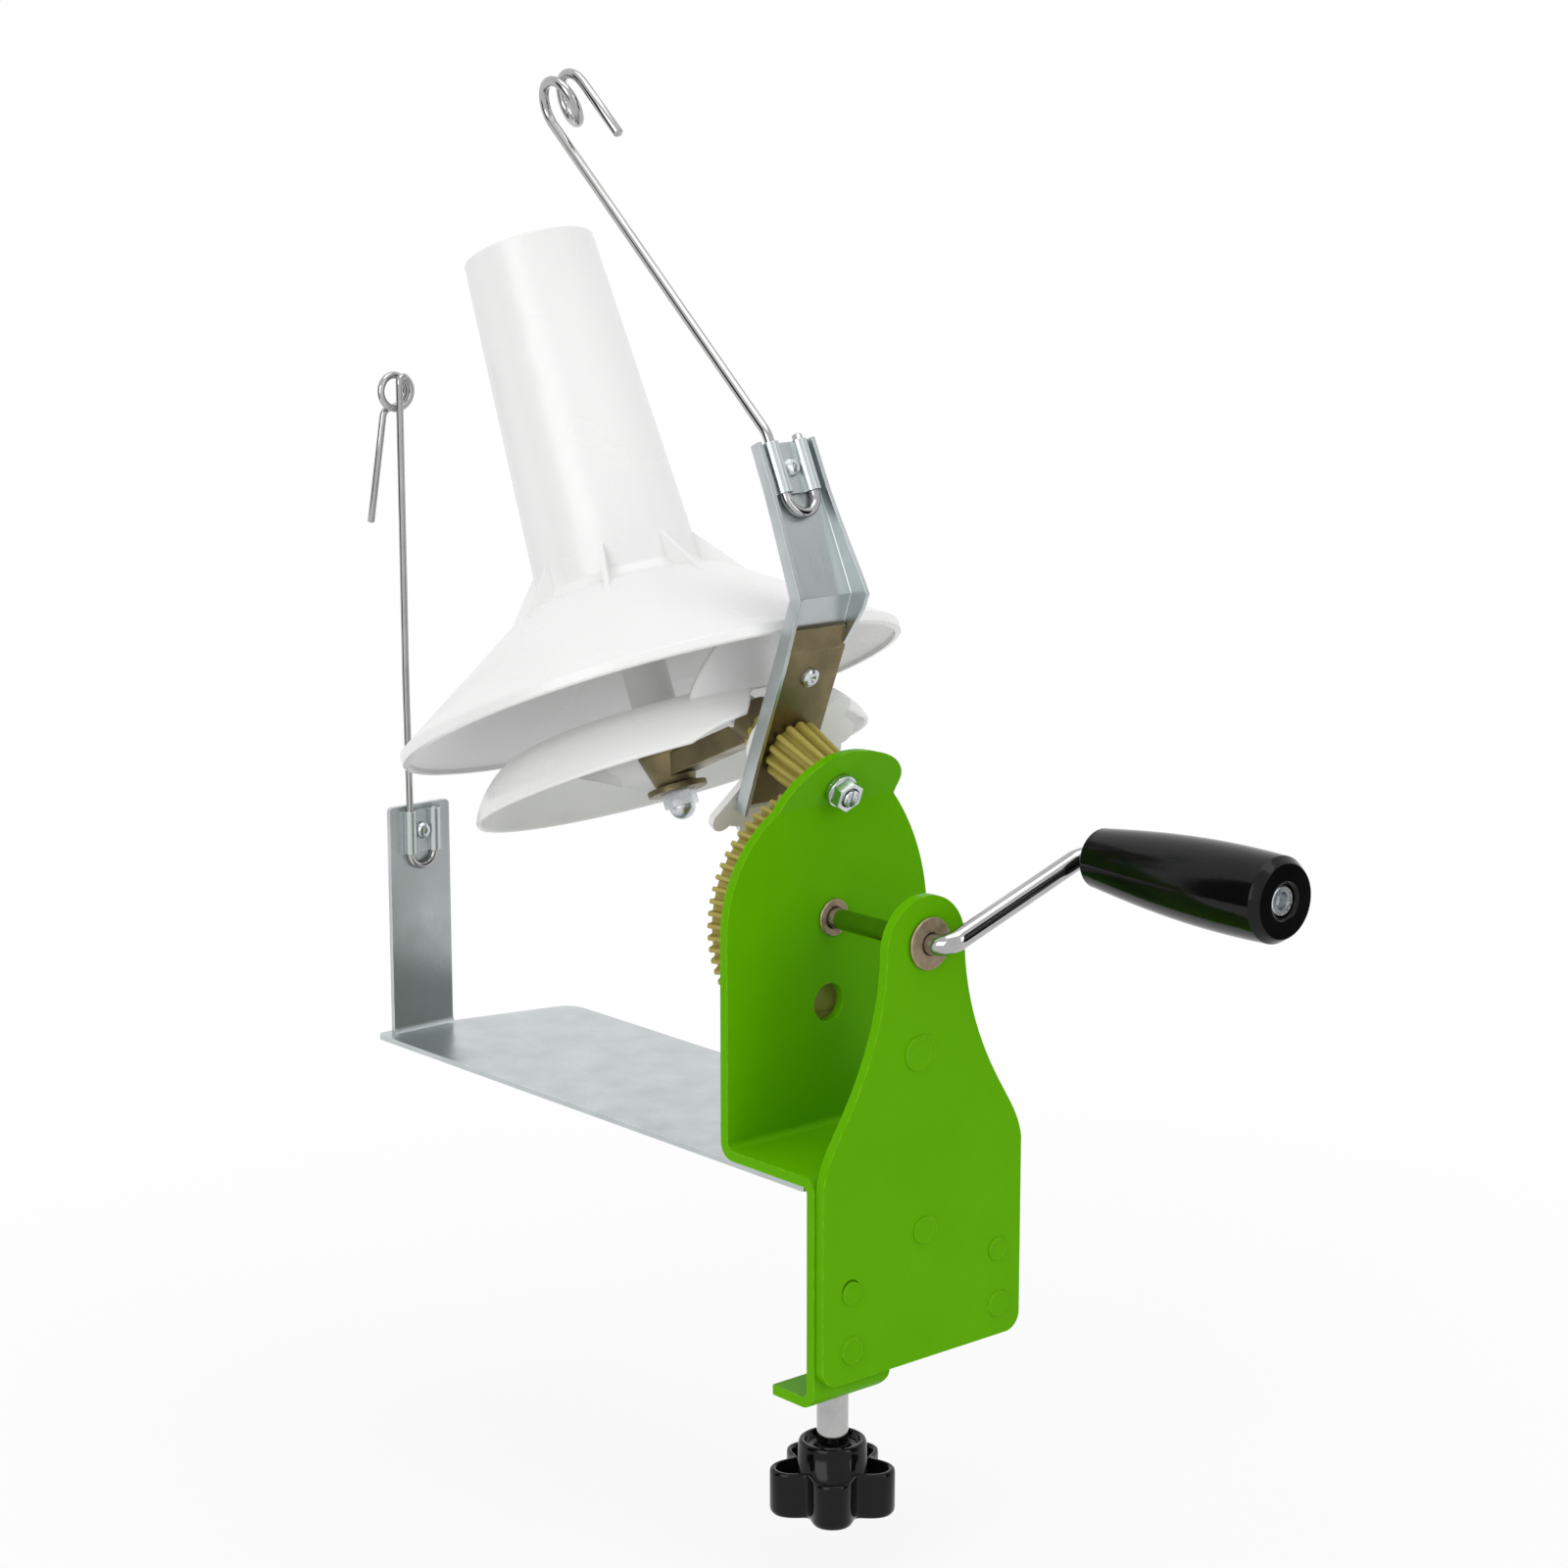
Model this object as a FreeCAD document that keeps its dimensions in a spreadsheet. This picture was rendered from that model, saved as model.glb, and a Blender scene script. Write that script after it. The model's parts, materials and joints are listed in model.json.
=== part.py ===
import FreeCAD, Part
import math
import os
from FreeCAD import Placement, Rotation, Vector

# Table-clamped yarn ball winder, millimetres, +Z up.
# Origin: the table face under the base plate, on the crank shaft's plane (Y 0),
# at the front face of the rear plate (X 0). +X points to the crank side.

os.makedirs("parts", exist_ok=True)
doc = FreeCAD.newDocument("yarn_ball_winder")
sheet = doc.addObject("Spreadsheet::Sheet", "dims")

# Driving dimensions
DIMS = {
    "sheet_thick": 4.0, "plate_wide": 101.0, "plate_mid_y": -2.0, "shaft_high": 87.0,
    "base_thick": 2.2, "rear_round_rad": 50.5, "fold_high": 131.0, "flyer_tilt": 22.0,
    "bend_inner": 2.5, "leg_front_x": 48.5, "leg_foot_low": -83.0, "leg_wide_low": -68.0,
    "flange_reach": 23.0, "strip_wide": 38.0,
    "front_low": -74.0, "lobe_rad": 19.5, "weld_rad": 5.0, "weld_proud": 0.5,
    "shaft_rad": 4.0, "bush_rear_rad": 7.2, "bush_front_rad": 10.0, "fit_gap": 0.05,
    "spare_hole_rad": 7.5, "spare_hole_drop": 33.0,
    "gear_teeth": 63, "pinion_teeth": 14, "tooth_module": 1.5, "gear_back_x": -18.0,
    "gear_front_x": -6.0, "backlash": 0.34, "gear_addendum": 0.8, "pinion_addendum": 1.0,
    "axle_rad": 4.0, "pinion_start": 139.0, "pinion_trim_rad": 11.5, "pinion_end": 163.6, "pinion_hub_rad": 9.0,
    "arm_plane": 164.0, "bracket_thick": 2.0, "arm_wide": 27.0, "arm_sheet": 1.8,
    "arm_flange": 7.5, "wire_rad": 2.0, "guide_wire_rad": 1.5,
    "cone_x": -108.0, "cone_high": 158.0, "cone_tilt": 24.0, "cone_rim_rad": 102.0,
    "cone_wall": 2.5, "cone_neck_rad": 44.0, "cone_neck_high": 40.0, "tube_low_rad": 33.0,
    "tube_top_rad": 26.6, "tube_top_high": 186.0, "brim_lip": 7.0,
    "cone_axle_rad": 4.0, "dish_top_rad": 50.0, "dish_rim_rad": 71.0,
    "crank_reach": 75.0, "crank_rise": 19.0, "crank_elbow_x": 62.0, "crank_bend": 7.0,
    "grip_start_x": 70.0, "grip_long": 92.0, "grip_small_rad": 11.5, "grip_big_rad": 16.5,
    "grip_bore_rad": 4.05,
    "clamp_x": 35.0, "clamp_y": -31.0, "clamp_rad": 6.0, "foot_rad": 9.0, "foot_top": -24.0,
    "foot_long": 30.0, "knob_rad": 25.0, "knob_lobe_rad": 7.0, "knob_high": 22.0,
    "knob_top": -103.0, "knob_lobes": 6,
    "base_far_x": -226.0, "upright_x": -222.0, "upright_wide": 30.0, "upright_high": 99.0,
}
for row, (alias, value) in enumerate(DIMS.items(), start=1):
    sheet.set("A%d" % row, alias)
    sheet.set("B%d" % row, str(value))
    sheet.setAlias("B%d" % row, alias)
doc.recompute()


def dim(alias):
    return float(sheet.get(alias))


NODES = []


def keep(obj, label):
    """Give a finished sub-part its node name and remember it."""
    obj.Label = label
    NODES.append(obj)
    return obj


# Sketch and feature helpers

def origin_plane(body, role):
    for feature in body.Origin.OriginFeatures:
        if feature.Role == role:
            return feature
    raise RuntimeError(role)


def sketch_on(body, role, name, shapes, radius_cells=None, offset=0.0):
    sketch = body.newObject("Sketcher::SketchObject", name)
    sketch.AttachmentSupport = [(origin_plane(body, role), "")]
    sketch.MapMode = "FlatFace"
    sketch.AttachmentOffset = Placement(Vector(0, 0, offset), Rotation())
    for geo in shapes:
        sketch.addGeometry(geo, False)
    import Sketcher
    for index, cell in (radius_cells or {}).items():
        number = sketch.addConstraint(Sketcher.Constraint("Radius", index, dim(cell)))
        sketch.setExpression("Constraints[%d]" % number, "dims.%s" % cell)
    return sketch


def pad(body, sketch, name, length, reverse=False, both=False):
    feature = body.newObject("PartDesign::Pad", name)
    feature.Profile = sketch
    feature.setExpression("Length", length)
    feature.Reversed = reverse
    if both:
        feature.SideType = "Symmetric"
    return feature


def pocket(body, sketch, name, length=None, reverse=False):
    feature = body.newObject("PartDesign::Pocket", name)
    feature.Profile = sketch
    if length is None:
        feature.Type = "ThroughAll"
        feature.SideType = "Symmetric"
    else:
        feature.setExpression("Length", length)
        feature.Reversed = reverse
    return feature


def revolve(body, sketch, name):
    feature = body.newObject("PartDesign::Revolution", name)
    feature.Profile = sketch
    feature.ReferenceAxis = (sketch, ["V_Axis"])
    feature.Angle = 360.0
    return feature


def p2(x, y):
    return Vector(x, y, 0)


def line(a, b):
    return Part.LineSegment(p2(*a), p2(*b))


def chain(points, close=True):
    ends = points[1:] + (points[:1] if close else [])
    return [line(a, b) for a, b in zip(points, ends)]


def arc(a, via, b):
    return Part.Arc(p2(*a), p2(*via), p2(*b))


def spline(points):
    curve = Part.BSplineCurve()
    curve.interpolate([p2(*point) for point in points])
    return curve


def circle(x, y, r):
    return Part.Circle(p2(x, y), Vector(0, 0, 1), r)


def rounded_chain(points, radii):
    """Closed outline of straight runs with a round corner at each point whose radius is over 0."""
    shapes = []
    count = len(points)
    tangents = []
    for i, (x, y) in enumerate(points):
        radius = radii[i]
        here = p2(x, y)
        before = (p2(*points[i - 1]) - here).normalize()
        after = (p2(*points[(i + 1) % count]) - here).normalize()
        if radius <= 0:
            tangents.append((here, None, here))
            continue
        half = before.getAngle(after) / 2
        reach = radius / math.tan(half)
        middle = (before + after).normalize()
        centre = here + middle * (radius / math.sin(half))
        tangents.append((here + before * reach, centre - middle * radius, here + after * reach))
    for i in range(count):
        first, via, last = tangents[i]
        if via is not None:
            shapes.append(Part.Arc(first, via, last))
        following = tangents[(i + 1) % count][0]
        if (following - last).Length > 1e-6:
            shapes.append(Part.LineSegment(last, following))
    return shapes


def new_body(name):
    return doc.addObject("PartDesign::Body", name)


def revolved_body(label, outline, place=None, hollow=None):
    """A turned piece: outline of (radius, height) points about its own upright axis."""
    body = new_body(label + "_body")
    sketch = sketch_on(body, "XZ_Plane", label + "_profile", chain(outline))
    revolve(body, sketch, label + "_turn")
    if place is not None:
        body.Placement = place
    return keep(body, label)


def ring(label, outer, inner, length, place):
    """A plain ring between two radii, from primitives bound to their cells."""
    solid = doc.addObject("Part::Cylinder", label + "_outer")
    solid.setExpression("Radius", outer)
    solid.setExpression("Height", length)
    bore = doc.addObject("Part::Cylinder", label + "_bore")
    bore.setExpression("Radius", inner)
    bore.setExpression("Height", length)
    cut = doc.addObject("Part::Cut", label + "_ring")
    cut.Base = solid
    cut.Tool = bore
    cut.Placement = place
    return keep(cut, label)


def rod(label, radius, length, place):
    solid = doc.addObject("Part::Cylinder", label + "_rod")
    solid.setExpression("Radius", radius)
    solid.setExpression("Height", length)
    solid.Placement = place
    return keep(solid, label)


def shaped(label, shape):
    feature = doc.addObject("Part::Feature", label + "_shape")
    feature.Shape = shape
    return keep(feature, label)


def wire_rod(points, radius):
    """Round wire along straight runs joined by tangent arcs: points are (position, bend radius)."""
    edges = []
    last = points[0][0]
    for i in range(1, len(points) - 1):
        here, bend = points[i]
        before = (points[i - 1][0] - here).normalize()
        after = (points[i + 1][0] - here).normalize()
        half = before.getAngle(after) / 2
        reach = bend / math.tan(half)
        middle = (before + after).normalize()
        centre = here + middle * (bend / math.sin(half))
        start = here + before * reach
        end = here + after * reach
        edges.append(Part.makeLine(last, start))
        edges.append(Part.Arc(start, centre - middle * bend, end).toShape())
        last = end
    edges.append(Part.makeLine(last, points[-1][0]))
    path = Part.Wire(edges)
    direction = (points[1][0] - points[0][0]).normalize()
    section = Part.Wire(Part.makeCircle(radius, points[0][0], direction))
    return path.makePipeShell([section], True, True)


# The shared axes

TILT = math.radians(dim("flyer_tilt"))
FLYER_BACK = Vector(-math.cos(TILT), 0, math.sin(TILT))
FLYER_OUT = Vector(math.sin(TILT), 0, math.cos(TILT))
GEAR_RATIO = dim("gear_teeth") / dim("pinion_teeth")
PINION_CONE = math.atan2(math.sin(TILT), GEAR_RATIO + math.cos(TILT))
GEAR_CONE = TILT - PINION_CONE
GEAR_PITCH_RAD = dim("tooth_module") * dim("gear_teeth") / 2
APEX_X = dim("gear_back_x") + GEAR_PITCH_RAD / math.tan(GEAR_CONE)
APEX = Vector(APEX_X, 0, dim("shaft_high"))
# Turns +Z onto the flyer's axis, with +X of the piece pointing down, towards the big gear.
FLYER_TURN = Rotation(Vector(0, 0, 0) - FLYER_OUT, Vector(0, 1, 0), FLYER_BACK, "ZXY")


def flyer_place(distance):
    return Placement(APEX + FLYER_BACK * distance, FLYER_TURN)


CONE_TILT = math.radians(dim("cone_tilt"))
CONE_UP = Vector(-math.sin(CONE_TILT), 0, math.cos(CONE_TILT))
CONE_FORE = Vector(math.cos(CONE_TILT), 0, math.sin(CONE_TILT))
CONE_TURN = Rotation(CONE_FORE, Vector(0, 1, 0), CONE_UP, "ZXY")
CONE_FOOT = Vector(dim("cone_x"), 0, dim("cone_high"))


def cone_place(height):
    return Placement(CONE_FOOT + CONE_UP * height, CONE_TURN)


ALONG_X = Rotation(Vector(0, 0, -1), Vector(0, 1, 0), Vector(1, 0, 0), "ZXY")


def shaft_place(x, y=0.0, z=None):
    return Placement(Vector(x, y, dim("shaft_high") if z is None else z), ALONG_X)


# Green rear bracket: one bent sheet with ear, rear plate, shelf, clamp leg and foot flange

def sheet_strip(path, thickness, inner):
    """Cross-section of a bent sheet: the path runs along one face, the other lies to its left."""
    outer_side = []
    count = len(path)
    normals = []
    for a, b in zip(path, path[1:]):
        run = (p2(*b) - p2(*a)).normalize()
        normals.append(p2(-run.y, run.x))
    for i in range(count):
        here = p2(*path[i])
        if i == 0:
            outer_side.append(here + normals[0] * thickness)
        elif i == count - 1:
            outer_side.append(here + normals[-1] * thickness)
        else:
            both = (normals[i - 1] + normals[i]).normalize()
            outer_side.append(here + both * (thickness / both.dot(normals[i])))
    points = list(path) + [(v.x, v.y) for v in reversed(outer_side)]
    radii = [0.0]
    for i in range(1, count - 1):
        cross = normals[i - 1].x * normals[i].y - normals[i - 1].y * normals[i].x
        radii.append(inner + thickness if cross > 0 else inner)
    radii += [0.0, 0.0]
    for i in range(count - 2, 0, -1):
        cross = normals[i - 1].x * normals[i].y - normals[i - 1].y * normals[i].x
        radii.append(inner if cross > 0 else inner + thickness)
    radii.append(0.0)
    return rounded_chain(points, radii)


def rear_bracket():
    thick = dim("sheet_thick")
    shelf_low = dim("base_thick")
    fold = dim("fold_high")
    front = dim("leg_front_x")
    low = dim("leg_foot_low")
    ear_long = 24.0
    path = [
        (ear_long * math.sin(TILT), fold + ear_long * math.cos(TILT)),
        (0.0, fold), (0.0, shelf_low + thick), (front, shelf_low + thick),
        (front, low), (front - dim("flange_reach"), low)]
    body = new_body("rear_bracket_body")
    # Walked from the foot flange up, the path has the sheet on its left.
    strip = sheet_strip(path[::-1], thick, dim("bend_inner"))
    side = sketch_on(body, "XZ_Plane", "rear_side", strip)
    pad(body, side, "rear_sheet", "dims.plate_wide", both=True)
    mid = dim("plate_mid_y")
    half = dim("plate_wide") / 2
    high = dim("shaft_high")
    round_rad = dim("rear_round_rad")
    fold_half = math.sqrt(round_rad ** 2 - (fold - high) ** 2)
    notch = (31.0 - mid, fold - 0.5)
    ear = [(-fold_half, fold), (-19.7, 140.1), (-13.0, 146.2), (-5.0, 150.4), (5.0, 151.7),
           (16.0, 150.2), (25.5, 147.0), (31.6, 142.6), (34.2, 137.6), (33.4, 133.2), notch]
    lean = math.radians(45)
    outline = [
        arc((-half, high), (-round_rad * math.cos(lean), high + round_rad * math.sin(lean)),
            (-fold_half, fold)),
        spline(ear),
        arc(notch, (42.6, 115.2), (half, high)),
    ] + chain([(half, high), (half + 20, high), (half + 20, fold + 40), (-half - 20, fold + 40),
               (-half - 20, high), (-half, high)], close=False)
    top = sketch_on(body, "YZ_Plane", "rear_top_outline", outline)
    pocket(body, top, "rear_top_cut")
    strip_edge = -half + dim("strip_wide")
    corner = 7.0
    leg = chain([(half + 5, dim("leg_wide_low")), (strip_edge, dim("leg_wide_low")),
                 (strip_edge, low + corner)], close=False)
    leg.append(arc((strip_edge, low + corner),
                   (strip_edge - corner * (1 - math.cos(lean)), low + corner * (1 - math.sin(lean))),
                   (strip_edge - corner, low)))
    leg += chain([(strip_edge - corner, low), (strip_edge - corner, low - 5),
                  (half + 5, low - 5), (half + 5, dim("leg_wide_low"))], close=False)
    pocket(body, sketch_on(body, "YZ_Plane", "rear_leg_outline", leg), "rear_leg_cut")
    bore = sketch_on(body, "YZ_Plane", "rear_holes",
                     [circle(-mid, high, dim("bush_rear_rad") - 1.2),
                      circle(0.0, high - dim("spare_hole_drop"), dim("spare_hole_rad"))])
    holes = body.newObject("PartDesign::Pocket", "rear_bores")
    holes.Profile = bore
    holes.Length = 20.0
    holes.SideType = "Symmetric"
    body.Placement = Placement(Vector(0, mid, 0), Rotation())
    body.Tip = holes
    doc.recompute()
    ear_bore = doc.addObject("Part::Cylinder", "ear_bore")
    ear_bore.setExpression("Radius", "dims.axle_rad + dims.fit_gap")
    ear_bore.Height = 30
    ear_bore.Placement = flyer_place(dim("pinion_start") - 20)
    screw_bore = doc.addObject("Part::Cylinder", "clamp_bore")
    screw_bore.setExpression("Radius", "dims.clamp_rad + dims.fit_gap")
    screw_bore.Height = 20
    screw_bore.Placement = Placement(Vector(dim("clamp_x"), dim("clamp_y"), low - 8), Rotation())
    shelf_dimple = doc.addObject("Part::Cylinder", "shelf_bore")
    shelf_dimple.Radius = 2.1
    shelf_dimple.Height = 20
    shelf_dimple.Placement = Placement(Vector(24.0, -12.0, -5.0), Rotation())
    tools = doc.addObject("Part::MultiFuse", "rear_bore_tools")
    tools.Shapes = [ear_bore, screw_bore, shelf_dimple]
    cut = doc.addObject("Part::Cut", "rear_bracket_cut")
    cut.Base = body
    cut.Tool = tools
    return keep(cut, "rear_bracket")


rear_bracket()


def front_plate():
    mid = dim("plate_mid_y") + 1.0
    half = dim("plate_wide") / 2
    high = dim("shaft_high")
    lobe = dim("lobe_rad")
    low = dim("front_low")
    corner = 7.0
    lean = math.radians(45)
    body = new_body("front_plate_body")
    side = [(lobe, high - 3.0), (21.2, high - 18.0), (24.6, high - 31.0), (31.5, high - 47.5),
            (40.5, high - 63.0), (half - 2.0, high - 77.0), (half, high - 84.0)]
    left = [(-y, z) for y, z in reversed(side)]
    cut = corner * (1 - math.sin(lean))
    outline = [
        spline(side),
        line((half, high - 84.0), (half, low + corner)),
        arc((half, low + corner), (half - cut, low + cut), (half - corner, low)),
        line((half - corner, low), (-half + corner, low)),
        arc((-half + corner, low), (-half + cut, low + cut), (-half, low + corner)),
        line((-half, low + corner), (-half, high - 84.0)),
        spline(left),
        arc((-lobe, high - 3.0), (0.0, high + lobe - 1.4), (lobe, high - 3.0)),
        circle(-mid, high, dim("bush_front_rad") - 1.6),
    ]
    blank = sketch_on(body, "YZ_Plane", "front_outline", outline)
    pad(body, blank, "front_sheet", "dims.sheet_thick")
    proud = [circle(-1.5, high - 41.0, 6.5), circle(1.0, -23.5, 5.0), (circle(39.0, -61.5, 5.0)),
             circle(-36.5, -61.5, 5.0)]
    marks = sketch_on(body, "YZ_Plane", "front_marks", proud, offset=dim("sheet_thick"))
    pad(body, marks, "front_mark_pads", "dims.weld_proud")
    dents = sketch_on(body, "YZ_Plane", "front_dents",
                      [circle(38.5, -39.5, 4.4), circle(-36.8, -38.5, 4.4)],
                      offset=dim("sheet_thick"))
    pocket(body, dents, "front_dent_cuts", "dims.weld_proud * 2")
    body.Placement = Placement(Vector(dim("leg_front_x"), mid, 0), Rotation())
    return keep(body, "front_plate")


front_plate()

# Bushings and the crank shaft

def bushing(label, x, flange_rad, neck_rad, flange_thick, neck_long):
    """Flanged bronze bush: neck through the plate, flange on its front face."""
    bore = dim("shaft_rad") + dim("fit_gap")
    outline = [(bore, -neck_long), (neck_rad, -neck_long), (neck_rad, 0.0), (flange_rad - 0.5, 0.0),
               (flange_rad, 0.5), (flange_rad, flange_thick - 0.4), (flange_rad - 0.4, flange_thick),
               (bore + 0.6, flange_thick), (bore, flange_thick - 0.6)]
    return revolved_body(label, outline, shaft_place(x))


bushing("rear_bushing", 0.0, dim("bush_rear_rad"), dim("bush_rear_rad") - 1.2, 1.4, dim("sheet_thick"))
bushing("front_bushing", dim("leg_front_x") + dim("sheet_thick"), dim("bush_front_rad"),
        dim("bush_front_rad") - 1.6, 1.6, dim("sheet_thick"))

# Bevel gear pair between crank shaft and flyer: the teeth run to one apex on the shaft's axis

def tooth_outline(teeth, cone, distance, addendum, dedendum):
    """Polygon across a bevel gear, flat to its axis, at this distance from the apex along it."""
    module = dim("tooth_module")
    pitch = distance * math.tan(cone)
    scale = pitch / (module * teeth / 2)
    virtual_rad = pitch / math.cos(cone)
    base_rad = virtual_rad * math.cos(math.radians(20))
    slant = distance / math.cos(cone)
    inv_pitch = math.tan(math.radians(20)) - math.radians(20)
    half_pitch = math.pi * math.cos(cone) / (2 * teeth) - dim("backlash") / 2 * scale / (2 * virtual_rad)

    def half_angle(radius):
        pressure = math.acos(min(1.0, base_rad / radius))
        return (half_pitch + inv_pitch - (math.tan(pressure) - pressure)) / math.cos(cone)

    tip = virtual_rad + addendum * module * scale
    root = virtual_rad - dedendum * module * scale
    start = max(base_rad, root)
    flank = [start, start + (tip - start) * 0.35, start + (tip - start) * 0.7, tip]
    if root < base_rad:
        flank.insert(0, root)
    points = []
    for tooth in range(teeth):
        middle = 2 * math.pi * (tooth + 0.5) / teeth
        side = [(r, half_angle(max(r, base_rad))) for r in flank]
        for r, half in side:
            points.append((r, middle - half))
        for r, half in reversed(side):
            points.append((r, middle + half))
    outline = []
    for r, angle in points:
        flat = distance * math.tan(cone + (r - virtual_rad) / slant)
        outline.append((flat * math.cos(angle), flat * math.sin(angle)))
    return outline


def bevel_solid(teeth, cone, near, far, addendum, dedendum, phase):
    """Solid between two distances from the apex, apex at the origin and axis along +Z."""
    outline = tooth_outline(teeth, cone, far, addendum, dedendum)
    turn = math.radians(phase)
    ends = []
    for distance in (near, far):
        size = distance / far
        corners = [Vector(size * (x * math.cos(turn) - y * math.sin(turn)),
                          size * (x * math.sin(turn) + y * math.cos(turn)), distance)
                   for x, y in outline]
        ends.append(Part.makePolygon(corners + corners[:1]))
    return Part.makeLoft(ends, True, True)


def local(shape, place):
    shape.Placement = place
    return shape


SHAFT_BACK = Rotation(Vector(0, 0, 1), Vector(0, 1, 0), Vector(-1, 0, 0), "ZXY")


def drive_gear():
    near = APEX_X - dim("gear_front_x")
    far = APEX_X - dim("gear_back_x")
    teeth = int(dim("gear_teeth"))
    wheel = bevel_solid(teeth, GEAR_CONE, near, far, dim("gear_addendum"), 1.25, 0.0)
    groove = Part.makeCylinder(39.0, 4.0, Vector(0, 0, far - 4.0))
    groove = groove.cut(Part.makeCylinder(14.0, 4.0, Vector(0, 0, far - 4.0)))
    wheel = wheel.cut(groove)
    for spoke in range(6):
        angle = math.radians(60 * spoke + 30)
        hole = Part.makeCylinder(6.5, 30, Vector(26.5 * math.cos(angle), 26.5 * math.sin(angle), near - 5))
        wheel = wheel.cut(hole)
    hub = Part.makeCylinder(11.0, 7.0, Vector(0, 0, far))
    wheel = wheel.fuse(hub)
    wheel = wheel.cut(Part.makeCylinder(dim("shaft_rad"), 40, Vector(0, 0, near - 5)))
    wheel = wheel.cut(Part.makeCylinder(1.5, 40, Vector(-20, 0, far + 3.5), Vector(1, 0, 0)))
    wheel = wheel.removeSplitter()
    return shaped("drive_gear", local(wheel, Placement(APEX, SHAFT_BACK)))


drive_gear()


def flyer_pinion():
    teeth = int(dim("pinion_teeth"))
    near, far = dim("pinion_start"), dim("pinion_end")
    # One tooth stands at the mesh, where the big gear has a gap.
    cut = bevel_solid(teeth, PINION_CONE, near, far, dim("pinion_addendum"), 1.15, -180.0 / teeth)
    turned_down = Part.makeCylinder(dim("pinion_trim_rad"), 30, Vector(0, 0, 155.0))
    cut = cut.common(turned_down.fuse(Part.makeCylinder(20, 40, Vector(0, 0, 115.0))))
    hub = Part.makeCylinder(dim("pinion_hub_rad"), 13.2, Vector(0, 0, far))
    tail = bevel_solid(teeth, PINION_CONE, 172.4, 176.8, dim("pinion_addendum"), 1.15, 0.0)
    tail = tail.common(Part.makeCylinder(12.0, 20, Vector(0, 0, 165.0)))
    piece = cut.fuse([hub, tail])
    piece = piece.cut(Part.makeCylinder(dim("axle_rad") + dim("fit_gap"), 60, Vector(0, 0, near - 5)))
    return shaped("flyer_pinion", local(piece, Placement(APEX, FLYER_TURN)))


flyer_pinion()

# Crank: one bent rod is the shaft, the arm and the pin of the grip

RISE = math.radians(dim("crank_rise"))
PIN_Y = dim("crank_reach") * math.cos(RISE)
PIN_Z = dim("shaft_high") + dim("crank_reach") * math.sin(RISE)


def crank_rod():
    far = dim("gear_back_x") - 9.0
    elbow = dim("crank_elbow_x")
    high = dim("shaft_high")
    grip = dim("grip_start_x")
    bend = dim("crank_bend")
    path = [(Vector(far, 0, high), 0.0), (Vector(elbow, 0, high), bend),
            (Vector(grip - bend - 0.5, PIN_Y, PIN_Z), bend),
            (Vector(grip + dim("grip_long") - 9.0, PIN_Y, PIN_Z), 0.0)]
    solid = wire_rod(path, dim("shaft_rad"))
    pin = Part.makeCylinder(1.5, 40, Vector(far + 5.5, 0, high - 20), Vector(0, 0, 1))
    return shaped("crank_rod", solid.cut(pin))


crank_rod()
rod("gear_pin", "1.5", "22", Placement(Vector(dim("gear_back_x") - 3.5, 0, dim("shaft_high") - 11),
                                       Rotation()))


def crank_grip():
    small, big, length = dim("grip_small_rad"), dim("grip_big_rad"), dim("grip_long")
    bore = dim("grip_bore_rad")
    body = new_body("crank_grip_body")
    rear = small - 1.8
    outline = [
        line((bore, 0), (rear, 0)),
        arc((rear, 0), (small - 0.5, 0.6), (small, 2.2)),
        spline([(small, 2.2), (small + 2.2, length * 0.22), (small + 4.6, length * 0.55),
                (big, length * 0.86), (big - 0.3, length - 3.5)]),
        line((big - 0.3, length - 3.5), (big - 2.6, length)),
        line((big - 2.6, length), (7.3, length)),
        line((7.3, length), (6.3, length - 1.0)),
        line((6.3, length - 1.0), (6.3, length - 8.0)),
        line((6.3, length - 8.0), (bore, length - 8.0)),
        line((bore, length - 8.0), (bore, 0)),
    ]
    revolve(body, sketch_on(body, "XZ_Plane", "grip_profile", outline), "grip_turn")
    body.Placement = shaft_place(dim("grip_start_x"), PIN_Y, PIN_Z)
    return keep(body, "crank_grip")


crank_grip()
revolved_body("grip_screw", [(0, 0), (5.9, 0), (5.9, 5.6), (5.2, 6.3), (3.4, 6.3), (2.6, 2.5), (0, 2.5)],
              shaft_place(dim("grip_start_x") + dim("grip_long") - 9.0 + 1.4, PIN_Y, PIN_Z))

# Flyer: fixed axle through the ear, pinion and arm turning on it

AXLE_START = 129.0
EYE_START, EYE_END = 177.5, 186.5
rod("flyer_axle", "dims.axle_rad", "64", flyer_place(AXLE_START))
# The ear's front face is square to the axis, so its distance is that of the fold line.
EAR_FRONT = (Vector(0, 0, dim("fold_high")) - APEX).dot(FLYER_BACK)


def hex_outline(across, phase=0.0):
    rad = across / math.sqrt(3)
    return [(rad * math.cos(math.radians(60 * i + phase)), rad * math.sin(math.radians(60 * i + phase)))
            for i in range(6)]


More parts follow.
